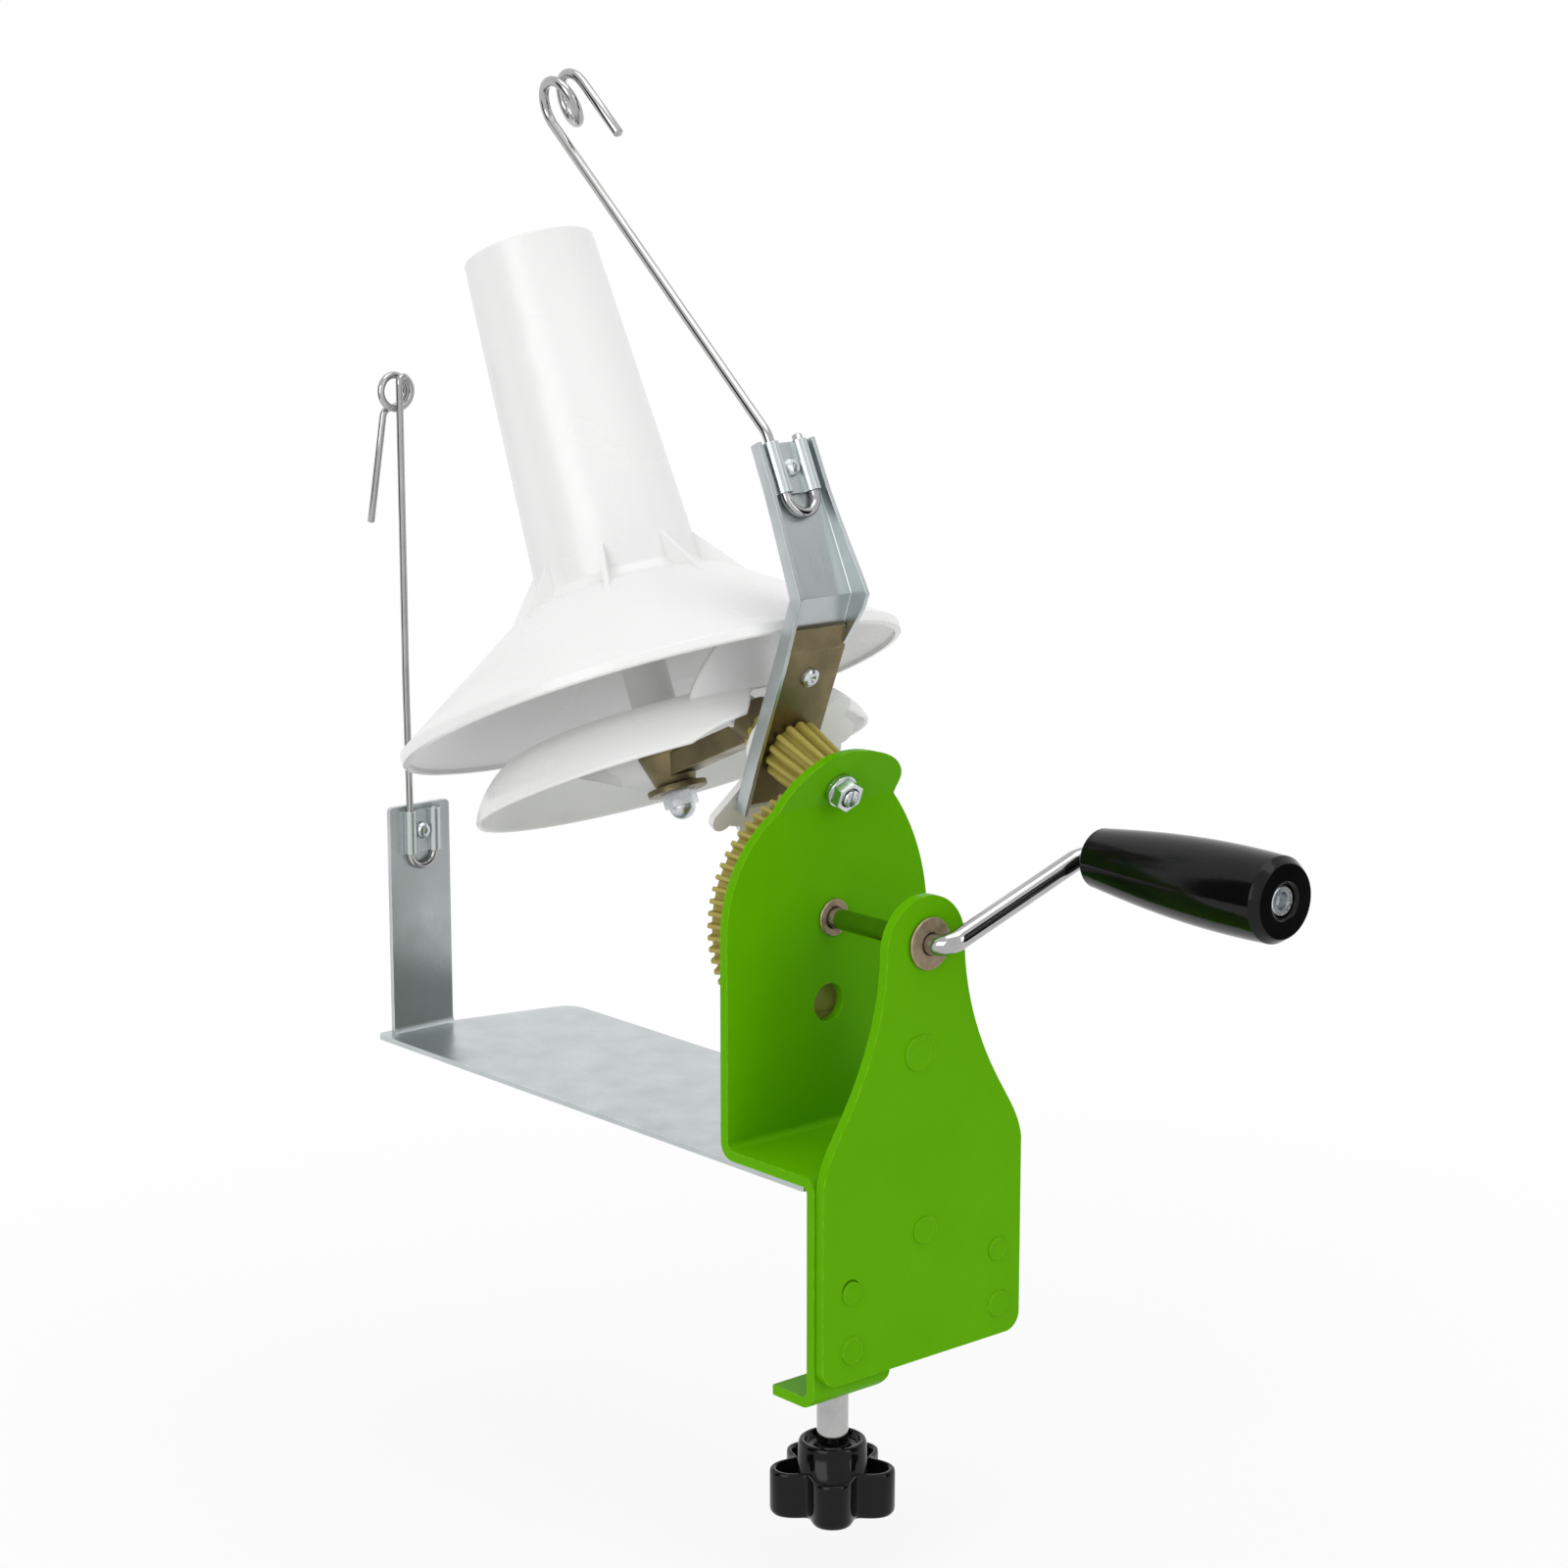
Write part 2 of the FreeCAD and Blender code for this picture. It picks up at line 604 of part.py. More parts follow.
def nut_body(label, across, bore, high, place, flange_rad=None, flange_high=0.0, dome=None):
    body = new_body(label + "_body")
    hexagon = sketch_on(body, "XY_Plane", label + "_hex", chain(hex_outline(across)))
    blank = pad(body, hexagon, label + "_blank", "%s" % high)
    if flange_rad:
        disc = sketch_on(body, "XY_Plane", label + "_disc", [circle(0, 0, flange_rad)])
        pad(body, disc, label + "_flange", "%s" % flange_high)
    if dome:
        foot, peak = high - 1.0, high + dome
        middle = (foot + peak) / 2 - dome ** 2 / (2 * (peak - foot))
        ball = peak - middle
        top = [line((0, foot), (dome, foot)),
               arc((dome, foot), (ball * math.cos(math.radians(40)),
                                  middle + ball * math.sin(math.radians(40))), (0, peak)),
               line((0, peak), (0, foot))]
        cap = sketch_on(body, "XZ_Plane", label + "_cap", top)
        revolve(body, cap, label + "_dome")
    hole = sketch_on(body, "XY_Plane", label + "_hole", [circle(0, 0, bore)])
    pocket(body, hole, label + "_bore", "%s" % high, reverse=True)
    body.Placement = place
    return keep(body, label)


def washer(label, outer, inner, thick, place):
    return ring(label, "%s" % outer, "%s" % inner, "%s" % thick, place)


TOWARD_VIEWER = FLYER_TURN.multiply(Rotation(Vector(0, 1, 0), 180))
washer("ear_washer", 6.2, dim("axle_rad"), 1.6, Placement(APEX + FLYER_BACK * EAR_FRONT, TOWARD_VIEWER))
nut_body("ear_nut", 11.0, dim("axle_rad"), 6.0,
         Placement(APEX + FLYER_BACK * (EAR_FRONT - 1.6), TOWARD_VIEWER), 6.6, 1.4)


def flyer_bracket():
    body = new_body("flyer_bracket_body")
    wide = dim("arm_wide") / 2 - dim("arm_sheet") - 0.2
    outline = rounded_chain([(-wide, -41.0), (wide, -41.0), (wide, 24.0), (-wide, 24.0)],
                            [1.0, 1.0, 4.0, 4.0])
    plate = sketch_on(body, "XY_Plane", "bracket_outline",
                      [o for o in turned(outline)] + [circle(0, 0, dim("pinion_hub_rad")),
                                                     circle(-31.0, 0, 2.0)])
    pad(body, plate, "bracket_sheet", "dims.bracket_thick")
    body.Placement = flyer_place(dim("arm_plane"))
    return keep(body, "flyer_bracket")


def turned(shapes):
    """Quarter turn of sketch geometry, so that an upright outline runs along the local X."""
    result = []
    for geo in shapes:
        shape = geo.toShape()
        shape.rotate(Vector(0, 0, 0), Vector(0, 0, 1), -90)
        if isinstance(geo, Part.LineSegment):
            a, b = [v.Point for v in shape.Vertexes]
            result.append(Part.LineSegment(a, b))
        else:
            first, last = shape.FirstParameter, shape.LastParameter
            result.append(Part.Arc(shape.valueAt(first), shape.valueAt((first + last) / 2),
                                   shape.valueAt(last)))
    return result


flyer_bracket()


ARM_BEND = Vector(-4.0, 0, 209.0)
ARM_TOP = Vector(-30.0, 0, 264.0)
ARM_UP = (ARM_TOP - ARM_BEND).normalize()
ARM_FRONT = Vector(ARM_UP.z, 0, -ARM_UP.x)
CLIP_AT = ARM_TOP - ARM_UP * 10.5


def flyer_arm():
    """U-channel: web square to the flyer's axis below, bent twice above, flanges to the front."""
    sheet_t = dim("arm_sheet")
    wide = dim("arm_wide")
    back = dim("arm_plane") + dim("bracket_thick")
    foot = APEX + FLYER_BACK * back - FLYER_OUT * 27.0
    first = APEX + FLYER_BACK * back + FLYER_OUT * 43.0
    web = [(foot.x, foot.z), (first.x, first.z), (ARM_BEND.x, ARM_BEND.z), (ARM_TOP.x, ARM_TOP.z)]
    body = new_body("flyer_arm_body")
    normals = []
    for a, b in zip(web, web[1:]):
        run = (p2(*b) - p2(*a)).normalize()
        normals.append(p2(run.y, -run.x))

    def offset(distance):
        result = []
        for i, point in enumerate(web):
            before = normals[max(0, i - 1)]
            after = normals[min(len(normals) - 1, i)]
            both = (before + after).normalize()
            moved = p2(*point) + both * (distance / both.dot(after))
            result.append((moved.x, moved.y))
        return result

    behind, front = offset(-sheet_t), offset(dim("arm_flange"))
    side = sketch_on(body, "XZ_Plane", "arm_side", chain(behind + front[::-1]))
    pad(body, side, "arm_blank", "dims.arm_wide", both=True)
    inside = sketch_on(body, "XZ_Plane", "arm_inside",
                       chain(extended(web, 3.0) + extended(offset(dim("arm_flange") + 5), 3.0)[::-1]))
    cut = body.newObject("PartDesign::Pocket", "arm_channel")
    cut.Profile = inside
    cut.SideType = "Symmetric"
    cut.setExpression("Length", "dims.arm_wide - 2 * dims.arm_sheet")
    doc.recompute()
    bore = doc.addObject("Part::Cylinder", "arm_hub_bore")
    bore.setExpression("Radius", "dims.pinion_hub_rad")
    bore.Height = 20
    bore.Placement = flyer_place(back - 4)
    rivet = doc.addObject("Part::Cylinder", "arm_rivet_bore")
    rivet.Radius = 2.0
    rivet.Height = 20
    rivet.Placement = Placement(APEX + FLYER_BACK * (back - 4) + FLYER_OUT * 31.0, FLYER_TURN)
    screw = doc.addObject("Part::Cylinder", "arm_screw_bore")
    screw.Radius = 1.6
    screw.Height = 20
    screw.Placement = Placement(CLIP_AT - ARM_FRONT * 10, Rotation(Vector(0, 0, 0), Vector(0, 1, 0),
                                                                  ARM_FRONT, "ZYX"))
    tools = doc.addObject("Part::MultiFuse", "arm_bores")
    tools.Shapes = [bore, rivet, screw]
    piece = doc.addObject("Part::Cut", "flyer_arm_cut")
    piece.Base = body
    piece.Tool = tools
    return keep(piece, "flyer_arm")


def extended(points, reach):
    """The same open run with its first and last stretch made longer by reach."""
    first = p2(*points[0]) + (p2(*points[0]) - p2(*points[1])).normalize() * reach
    last = p2(*points[-1]) + (p2(*points[-1]) - p2(*points[-2])).normalize() * reach
    return [(first.x, first.y)] + list(points[1:-1]) + [(last.x, last.y)]


flyer_arm()
revolved_body("flyer_rivet", [(0, -2.7), (3.2, -2.7), (3.6, -1.8), (2.0, -1.8), (2.0, 2.0),
                              (4.0, 2.0), (3.7, 3.2), (2.6, 3.9), (1.4, 3.9), (0, 3.2)],
              Placement(APEX + FLYER_BACK * (dim("arm_plane") + 2.0) + FLYER_OUT * 31.0, TOWARD_VIEWER))


def lobed_disc():
    """White disc with round lobes behind the arm."""
    lobes = 20
    disc = Part.makeCylinder(36.0, 2.8)
    pads = [Part.makeCylinder(3.6, 2.8, Vector(36.8 * math.cos(2 * math.pi * i / lobes),
                                               36.8 * math.sin(2 * math.pi * i / lobes), 0))
            for i in range(lobes)]
    disc = disc.fuse(pads).removeSplitter()
    disc = disc.cut(Part.makeCylinder(dim("pinion_hub_rad"), 10, Vector(0, 0, -3)))
    for i in range(5):
        angle = 2 * math.pi * i / 5
        disc = disc.cut(Part.makeCylinder(6.0, 10, Vector(22 * math.cos(angle), 22 * math.sin(angle), -3)))
    back = dim("arm_plane") + dim("bracket_thick") + dim("arm_sheet")
    return shaped("flyer_disc", local(disc, flyer_place(back + 1.5)))


lobed_disc()

# Wire clips: a pressed plate with two half-round grooves, one screw in the middle

def clip_plate(label, origin, up, front, wire, groove, wide, tall):
    """Plate on a face: origin is the clip's centre on that face, front its outward normal."""
    turn = Rotation(front, up.cross(front), up, "ZXY")
    wall = 1.2
    plate = Part.makeBox(1.5, wide, tall, Vector(0, -wide / 2, -tall / 2))
    for side in (-groove, groove):
        plate = plate.fuse(Part.makeCylinder(wire + wall, tall, Vector(wire, side, -tall / 2)))
    keep_front = Part.makeBox(30, 60, 60, Vector(0, -30, -30))
    plate = plate.common(keep_front)
    for side in (-groove, groove):
        plate = plate.cut(Part.makeCylinder(wire + 0.05, tall + 4, Vector(wire, side, -tall / 2 - 2)))
    plate = plate.cut(Part.makeCylinder(1.6, 20, Vector(-5, 0, 0), Vector(1, 0, 0)))
    return shaped(label, local(plate, Placement(origin, turn)))


def clip_screw(label, origin, front, shank):
    """Pan-head screw: head on the clip, shank through the sheet behind it."""
    outline = [(0, -shank), (1.6, -shank), (1.6, 1.5), (3.4, 1.5), (3.4, 2.6), (2.6, 3.7), (1.2, 4.1),
               (0.9, 3.0), (0, 3.0)]
    turn = Rotation(Vector(0, 0, 0), Vector(0, 1, 0), front, "ZYX")
    return revolved_body(label, outline, Placement(origin, turn))


def loop_points(centre, radius, start, sweep, step, axis_u, axis_v, advance):
    """Corner points that wind a wire round a centre: a coil's turns from its own formula."""
    count = max(2, int(round(abs(sweep) / step)))
    step = sweep / count
    rim = radius / math.cos(math.radians(step / 2))
    bend = radius
    points = []
    for i in range(count):
        angle = math.radians(start + step * (i + 0.5))
        along = advance * (i + 0.5) / count
        points.append((centre + axis_u * (rim * math.cos(angle)) + axis_v * (rim * math.sin(angle))
                       + axis_u.cross(axis_v) * along, bend * 0.96))
    return points


GROOVE = 7.0


def flyer_wire():
    radius = dim("wire_rad")
    base = CLIP_AT + ARM_FRONT * radius
    right = Vector(0, GROOVE, 0)
    coil_rad = 9.5
    centre = Vector(-155.0, 0.0, 377.0)
    top = base - right + ARM_UP * 13.0
    away = centre - top
    lean = math.degrees(math.atan2(away.z, away.x)) + math.degrees(math.asin(coil_rad / away.Length))
    start = lean + 90.0
    sweep = -(start - 64.0 + 360.0)
    coil = loop_points(centre, coil_rad, start, sweep, 45.0, Vector(1, 0, 0), Vector(0, 0, 1), -8.0)
    last = math.radians(start + sweep)
    leave = centre + Vector(coil_rad * math.cos(last), 8.0, coil_rad * math.sin(last))
    tail = leave + Vector(math.sin(last), 0, -math.cos(last)) * 25.0
    path = [(base + right + ARM_UP * 10.0, 0.0),
            (base + right - ARM_UP * 16.0, 5.5),
            (base - right - ARM_UP * 16.0, 5.5),
            (top, 14.0)] + coil + [(tail, 0.0)]
    return shaped("flyer_wire", wire_rod(path, radius))


flyer_wire()
clip_plate("flyer_clip", CLIP_AT, ARM_UP, ARM_FRONT, dim("wire_rad"), GROOVE, 21.5, 20.0)
clip_screw("flyer_clip_screw", CLIP_AT, ARM_FRONT, dim("arm_sheet") + 1.5)

# Fixed carrier: boss under the cone, bar, and eye on the flyer's axle

def cone_carrier():
    bore = dim("cone_axle_rad")
    boss_line = [(bore, -38.5), (7.6, -38.5), (8.2, -37.5), (12.0, -25.0), (12.0, -14.0), (bore, -14.0)]
    face = Part.Face(Part.makePolygon([Vector(x, 0, z) for x, z in boss_line + boss_line[:1]]))
    boss = face.revolve(Vector(0, 0, 0), Vector(0, 0, 1), 360)
    bar = Part.makeBox(53.5, 13.0, 8.5, Vector(6.0, -6.5, -35.0))
    bar = local(bar.fuse(boss), cone_place(0))
    eye = local(Part.makeCylinder(9.5, EYE_END - EYE_START), flyer_place(EYE_START))
    piece = bar.fuse(eye)
    piece = piece.cut(local(Part.makeCylinder(dim("axle_rad"), 60), flyer_place(150)))
    piece = piece.cut(local(Part.makeCylinder(bore, 60), cone_place(-60)))
    piece = piece.cut(local(Part.makeCylinder(8.6, 14), flyer_place(EYE_END)))
    return shaped("cone_carrier", piece.removeSplitter())


cone_carrier()
nut_body("axle_end_nut", 13.0, dim("axle_rad"), 5.5, flyer_place(EYE_END))
rod("cone_axle", "dims.cone_axle_rad", "111", cone_place(-46.5))
CONE_DOWN = CONE_TURN.multiply(Rotation(Vector(0, 1, 0), 180))
washer("cone_washer", 12.0, dim("cone_axle_rad"), 2.4, cone_place(-40.9))
nut_body("cone_acorn_nut", 12.0, dim("cone_axle_rad"), 6.0,
         Placement(CONE_FOOT - CONE_UP * 40.9, CONE_DOWN), None, 0.0, 5.2)
washer("cone_top_washer", 8.0, dim("cone_axle_rad"), 1.2, cone_place(58.3))
nut_body("cone_top_nut", 11.0, dim("cone_axle_rad"), 5.0, cone_place(59.5))


def guard_dish():
    top, rim = dim("dish_top_rad"), dim("dish_rim_rad")
    body = new_body("guard_dish_body")
    outline = [
        line((6.0, -14.0), (top - 4.5, -14.0)),
        spline([(top - 4.5, -14.0), (top + 1.0, -19.0), (top + 7.0, -29.0), (rim - 4.0, -43.0),
                (rim - 2.0, -50.0)]),
        line((rim - 2.0, -50.0), (rim, -50.0)),
        spline([(rim, -50.0), (rim - 1.9, -43.0), (top + 9.3, -28.0), (top + 2.8, -17.6),
                (top - 3.5, -12.0)]),
        line((top - 3.5, -12.0), (6.0, -12.0)),
        line((6.0, -12.0), (6.0, -14.0)),
    ]
    revolve(body, sketch_on(body, "XZ_Plane", "dish_profile", outline), "dish_turn")
    body.Placement = cone_place(0)
    doc.recompute()
    trim = doc.addObject("Part::Box", "dish_trim")
    trim.Length, trim.Width, trim.Height = 260, 260, 60
    trim.Placement = flyer_place(113.0).multiply(Placement(Vector(-130, -130, 0), Rotation()))
    slot = doc.addObject("Part::Box", "dish_slot")
    slot.Length, slot.Width, slot.Height = 60, 34, 38
    slot.Placement = cone_place(0).multiply(Placement(Vector(40, -17, -52), Rotation()))
    tools = doc.addObject("Part::MultiFuse", "dish_cuts")
    tools.Shapes = [trim, slot]
    piece = doc.addObject("Part::Cut", "guard_dish_cut")
    piece.Base = body
    piece.Tool = tools
    return keep(piece, "guard_dish")


guard_dish()


def cone():
    rim, neck, high = dim("cone_rim_rad"), dim("cone_neck_rad"), dim("cone_neck_high")
    tube, top, top_high = dim("tube_low_rad"), dim("tube_top_rad"), dim("tube_top_high")
    wall = dim("cone_wall")
    bore = dim("cone_axle_rad") + dim("fit_gap")
    outline = [(bore, -11.4), (9.0, -11.4), (9.0, high - 3.5), (neck - 1.0, high - 3.5),
               (rim - 2.6, -1.6), (rim - 2.6, -3.5), (rim, -3.5), (rim, 0.8), (neck, high),
               (tube + 3.0, high + 2.2), (tube + 0.4, high + 6.0), (top, top_high),
               (top - wall + 0.3, top_high), (tube - wall, high + 6.0), (tube - wall, high - 1.0),
               (9.0, high - 1.0), (9.0, 58.0), (bore, 58.0)]
    body = new_body("cone_body")
    radii = [0, 0, 0, 0, 0, 0, 0.8, 1.2, 6.0, 3.0, 3.0, 0.9, 0.9, 0, 0, 0, 0, 0]
    revolve(body, sketch_on(body, "XZ_Plane", "cone_profile", rounded_chain(outline, radii)), "cone_turn")
    rib = sketch_on(body, "XZ_Plane", "cone_rib_outline",
                    chain([(tube - 1.5, high - 2.5), (tube - 1.5, high + 17.0), (tube + 0.2, high + 17.0),
                           (54.0, high - 8.6), (52.0, high - 8.6)]))
    pad(body, rib, "cone_rib", "2", both=True)
    doc.recompute()
    pattern = body.newObject("PartDesign::PolarPattern", "cone_ribs")
    pattern.Originals = [doc.getObject("cone_rib")]
    pattern.Axis = (rib, ["V_Axis"])
    pattern.Angle = 360
    pattern.Occurrences = 8
    body.Tip = pattern
    body.Placement = cone_place(0)
    return keep(body, "cone")


cone()

# Base plate with its bent upright, and the yarn guide wire on it

GUIDE_Y = -32.0


def base_plate():
    thick = dim("base_thick")
    left, right = -52.0, 38.0
    far = dim("base_far_x")
    body = new_body("base_plate_body")
    front = dim("leg_front_x") - dim("sheet_thick") - dim("bend_inner") - 0.3
    floor = [(front, left), (front, right), (far + 16.0, right), (far + 3.0, GUIDE_Y + 17.0),
             (far, GUIDE_Y + 15.0), (far - 2.0, left)]
    shape = sketch_on(body, "XY_Plane", "base_outline", rounded_chain(floor, [1, 1, 10, 4, 1, 3]))
    pad(body, shape, "base_sheet", "dims.base_thick")
    half = dim("upright_wide") / 2
    wall = sketch_on(body, "YZ_Plane", "upright_outline",
                     rounded_chain([(GUIDE_Y - half, 0.0), (GUIDE_Y + half, 0.0),
                                    (GUIDE_Y + half, dim("upright_high")),
                                    (GUIDE_Y - half, dim("upright_high"))], [0, 0, 2, 2]),
                     offset=dim("upright_x") - thick)
    pad(body, wall, "upright_sheet", "dims.base_thick")
    bend = sketch_on(body, "XZ_Plane", "upright_bend",
                     [line((dim("upright_x"), thick), (dim("upright_x") + 3.0, thick)),
                      arc((dim("upright_x") + 3.0, thick), (dim("upright_x") + 0.9, thick + 0.9),
                          (dim("upright_x"), thick + 3.0)),
                      line((dim("upright_x"), thick + 3.0), (dim("upright_x"), thick))],
                     offset=-GUIDE_Y)
    pad(body, bend, "upright_fillet", "dims.upright_wide", both=True)
    hole = sketch_on(body, "XY_Plane", "base_hole", [circle(24.0, -12.0, 2.1)])
    pocket(body, hole, "base_screw_hole")
    bore = sketch_on(body, "YZ_Plane", "upright_hole", [circle(GUIDE_Y, 88.0, 1.6)],
                     offset=dim("upright_x") - 5.0)
    pocket(body, bore, "upright_screw_hole", "20", reverse=True)
    return keep(body, "base_plate")


base_plate()
revolved_body("base_screw", [(0, 0.0), (2.1, 0.0), (2.1, 5.2), (0.8, 5.2), (0.8, 4.4), (0, 4.4)],
              Placement(Vector(24.0, -12.0, 0.0), Rotation()))
GUIDE_CLIP = Vector(dim("upright_x"), GUIDE_Y, 88.0)
GUIDE_GROOVE = 6.0


def guide_wire():
    radius = dim("guide_wire_rad")
    base = GUIDE_CLIP + Vector(radius, 0, 0)
    left = Vector(0, -GUIDE_GROOVE, 0)
    eye_rad = 5.6
    centre = Vector(base.x, base.y - GUIDE_GROOVE - eye_rad, 270.0)
    eye = loop_points(centre, eye_rad, 0.0, 540.0, 45.0, Vector(0, 1, 0), Vector(0, 0, 1), 4.5)
    leave = centre + Vector(4.5, -eye_rad, 0)
    path = [(base - left + Vector(0, 0, 9.0), 0.0), (base - left - Vector(0, 0, 12.5), 4.5),
            (base + left - Vector(0, 0, 12.5), 4.5)] + eye + [(leave + Vector(0, -3.0, -40.0), 0.0)]
    return shaped("guide_wire", wire_rod(path, radius))


guide_wire()
clip_plate("guide_clip", GUIDE_CLIP, Vector(0, 0, 1), Vector(1, 0, 0), dim("guide_wire_rad"),
           GUIDE_GROOVE, 20.0, 18.0)
clip_screw("guide_clip_screw", GUIDE_CLIP, Vector(1, 0, 0), dim("base_thick") + 1.5)

# Table clamp: screw, star knob and swivelling press foot

CLAMP = Vector(dim("clamp_x"), dim("clamp_y"), 0)
FOOT_LOW = dim("foot_top") - dim("foot_long")


def press_foot():
    rad, top = dim("foot_rad"), dim("foot_top")
    outline = [(0, FOOT_LOW + 11.0), (0, top), (rad - 1.0, top), (rad, top - 1.0), (rad, FOOT_LOW + 1.0),
               (rad - 1.0, FOOT_LOW), (4.05, FOOT_LOW), (4.05, FOOT_LOW + 11.0)]
    return revolved_body("press_foot", outline, Placement(CLAMP, Rotation()))


press_foot()
revolved_body("clamp_screw", [(0, FOOT_LOW + 10.0), (3.4, FOOT_LOW + 10.0), (4.0, FOOT_LOW + 9.4),
                              (4.0, FOOT_LOW - 0.4), (6.0, FOOT_LOW - 0.4),
                              (6.0, dim("knob_top") - 20.0), (0, dim("knob_top") - 20.0)],
              Placement(CLAMP, Rotation()))


def star_knob():
    top = dim("knob_top")
    lobes = int(dim("knob_lobes"))
    rim_top, low = top - 6.0, top - 6.0 - dim("knob_high")
    lobe_at = dim("knob_rad") - dim("knob_lobe_rad")
    outline = []
    for i in range(lobes * 8):
        angle = 2 * math.pi * i / (lobes * 8)
        wave = math.cos(lobes * angle)
        rad = 20.6 + 4.4 * wave - 0.5 * math.cos(2 * lobes * angle)
        outline.append(Vector(rad * math.cos(angle), rad * math.sin(angle), low))
    curve = Part.BSplineCurve()
    curve.interpolate(outline, PeriodicFlag=True)
    star = Part.Face(Part.Wire(curve.toShape())).extrude(Vector(0, 0, dim("knob_high")))
    collar = Part.makeCylinder(12.5, top - low, Vector(0, 0, low))
    knob = star.fuse(collar)
    for i in range(lobes):
        angle = 2 * math.pi * i / lobes
        centre = Vector(lobe_at * math.cos(angle), lobe_at * math.sin(angle), rim_top - 13.0)
        hollow = Part.makeCylinder(dim("knob_lobe_rad") - 2.4, 14.0, centre)
        knob = knob.cut(hollow.cut(Part.makeCylinder(12.6, 60, Vector(0, 0, low - 5))))
    knob = knob.cut(Part.makeCylinder(10.0, 2.5, Vector(0, 0, top - 2.5)))
    knob = knob.cut(Part.makeCylinder(dim("clamp_rad"), top - low, Vector(0, 0, top - 20.0)))
    return shaped("star_knob", local(knob, Placement(CLAMP, Rotation())))


star_knob()

# Check everything, then write one file per node

doc.recompute()
for obj in doc.Objects:
    if "Invalid" in obj.State or "Error" in obj.State:
        raise RuntimeError("failed: %s %s" % (obj.Name, obj.State))
for node in NODES:
    if node.Shape.isNull() or not node.Shape.isValid():
        raise RuntimeError("bad shape: %s" % node.Label)
for node in NODES:
    node.Shape.exportStep("parts/%s.step" % node.Label)
    box = node.Shape.BoundBox
    print("%-18s %2d solid %9.1f mm3  X %7.1f %7.1f  Y %6.1f %6.1f  Z %7.1f %7.1f" % (
        node.Label, len(node.Shape.Solids), node.Shape.Volume, box.XMin, box.XMax, box.YMin,
        box.YMax, box.ZMin, box.ZMax))
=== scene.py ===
# %% [markdown]
# # Yarn ball winder in Blender
# A hand-cranked winder for wool, held to a table edge by a screw clamp. A crank turns a big tan
# gear, the gear turns a wire flyer, and the flyer lays yarn round a tilted white cone.
# The exact pieces come from the CAD frame. This file gives every piece its finish, and rebuilds the
# round, bent and moulded pieces with finer meshes than the CAD facets.

# %% Load the frame
import json
import math

import bmesh
import bpy
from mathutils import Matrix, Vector


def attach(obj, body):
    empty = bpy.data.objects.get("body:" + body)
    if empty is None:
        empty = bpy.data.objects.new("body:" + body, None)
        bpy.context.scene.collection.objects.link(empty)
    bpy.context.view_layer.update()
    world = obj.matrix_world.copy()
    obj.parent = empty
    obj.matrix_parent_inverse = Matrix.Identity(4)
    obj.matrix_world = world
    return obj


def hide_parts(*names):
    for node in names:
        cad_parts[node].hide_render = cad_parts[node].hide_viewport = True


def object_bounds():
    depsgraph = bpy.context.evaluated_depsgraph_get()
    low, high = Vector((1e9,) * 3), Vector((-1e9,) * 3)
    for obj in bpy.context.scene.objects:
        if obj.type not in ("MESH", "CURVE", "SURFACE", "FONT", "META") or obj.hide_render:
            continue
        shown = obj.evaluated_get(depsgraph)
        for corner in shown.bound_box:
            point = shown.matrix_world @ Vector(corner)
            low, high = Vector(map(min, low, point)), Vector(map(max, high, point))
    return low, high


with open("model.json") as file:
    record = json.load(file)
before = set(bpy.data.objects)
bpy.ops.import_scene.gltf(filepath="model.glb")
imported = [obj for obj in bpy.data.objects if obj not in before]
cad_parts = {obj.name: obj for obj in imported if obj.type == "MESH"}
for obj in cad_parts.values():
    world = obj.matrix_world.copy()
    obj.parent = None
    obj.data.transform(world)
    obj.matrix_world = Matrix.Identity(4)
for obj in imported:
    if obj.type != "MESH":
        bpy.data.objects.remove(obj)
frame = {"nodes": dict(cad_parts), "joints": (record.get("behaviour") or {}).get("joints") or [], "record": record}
cad_low, cad_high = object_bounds()
NODES = frame["nodes"]
JOINTS = {joint["name"]: joint for joint in frame["joints"]}
MM = 0.001
scene = bpy.context.scene
print("nodes:", len(NODES), "size in mm:", [round(v / MM) for v in (cad_high - cad_low)])

# %% [markdown]
# ## Camera
# The photograph was taken from the crank side, a little above the plates, with a long lens. The
# camera stands where its perspective fits the edges and the holes of the two green plates.

# %% Camera
CAMERA_AT = (0.98799, -0.88951, 0.42089)
CAMERA_DOWN = math.radians(12.0)
CAMERA_HEADING = math.radians(138.8)

camera_data = bpy.data.cameras.new("photo_camera")
camera_data.sensor_width = 36.0
camera_data.lens = 83.25
camera_data.clip_end = 50.0
camera = bpy.data.objects.new("photo_camera", camera_data)
camera.location = CAMERA_AT
camera.rotation_euler = (math.radians(90.0) - CAMERA_DOWN, 0.0, CAMERA_HEADING - math.radians(90.0))
scene.collection.objects.link(camera)
scene.camera = camera
print("camera at", CAMERA_AT, "with a lens of", camera_data.lens, "mm")

# %% [markdown]
# ## Floor, backdrop and light
# The winder stands on pure white, with only a faint shadow under it. The floor is lit like any matt
# white board, and a little plain white is added for the camera's own rays, so that it reaches white
# without more light on the object. The world does the same behind it, and shiny metal sees that
# white too. Three soft panels light the object from the left, the right and above. Round bright
# metal would look flat in an all-white room, so two black boards stand beside it, as a photographer
# does with dark flags. Only mirror-like rays see them, and they draw dark lines on the rods.

# %% White world
world = bpy.data.worlds.new("white_studio")
world.use_nodes = True
scene.world = world
tree = world.node_tree
tree.nodes.clear()


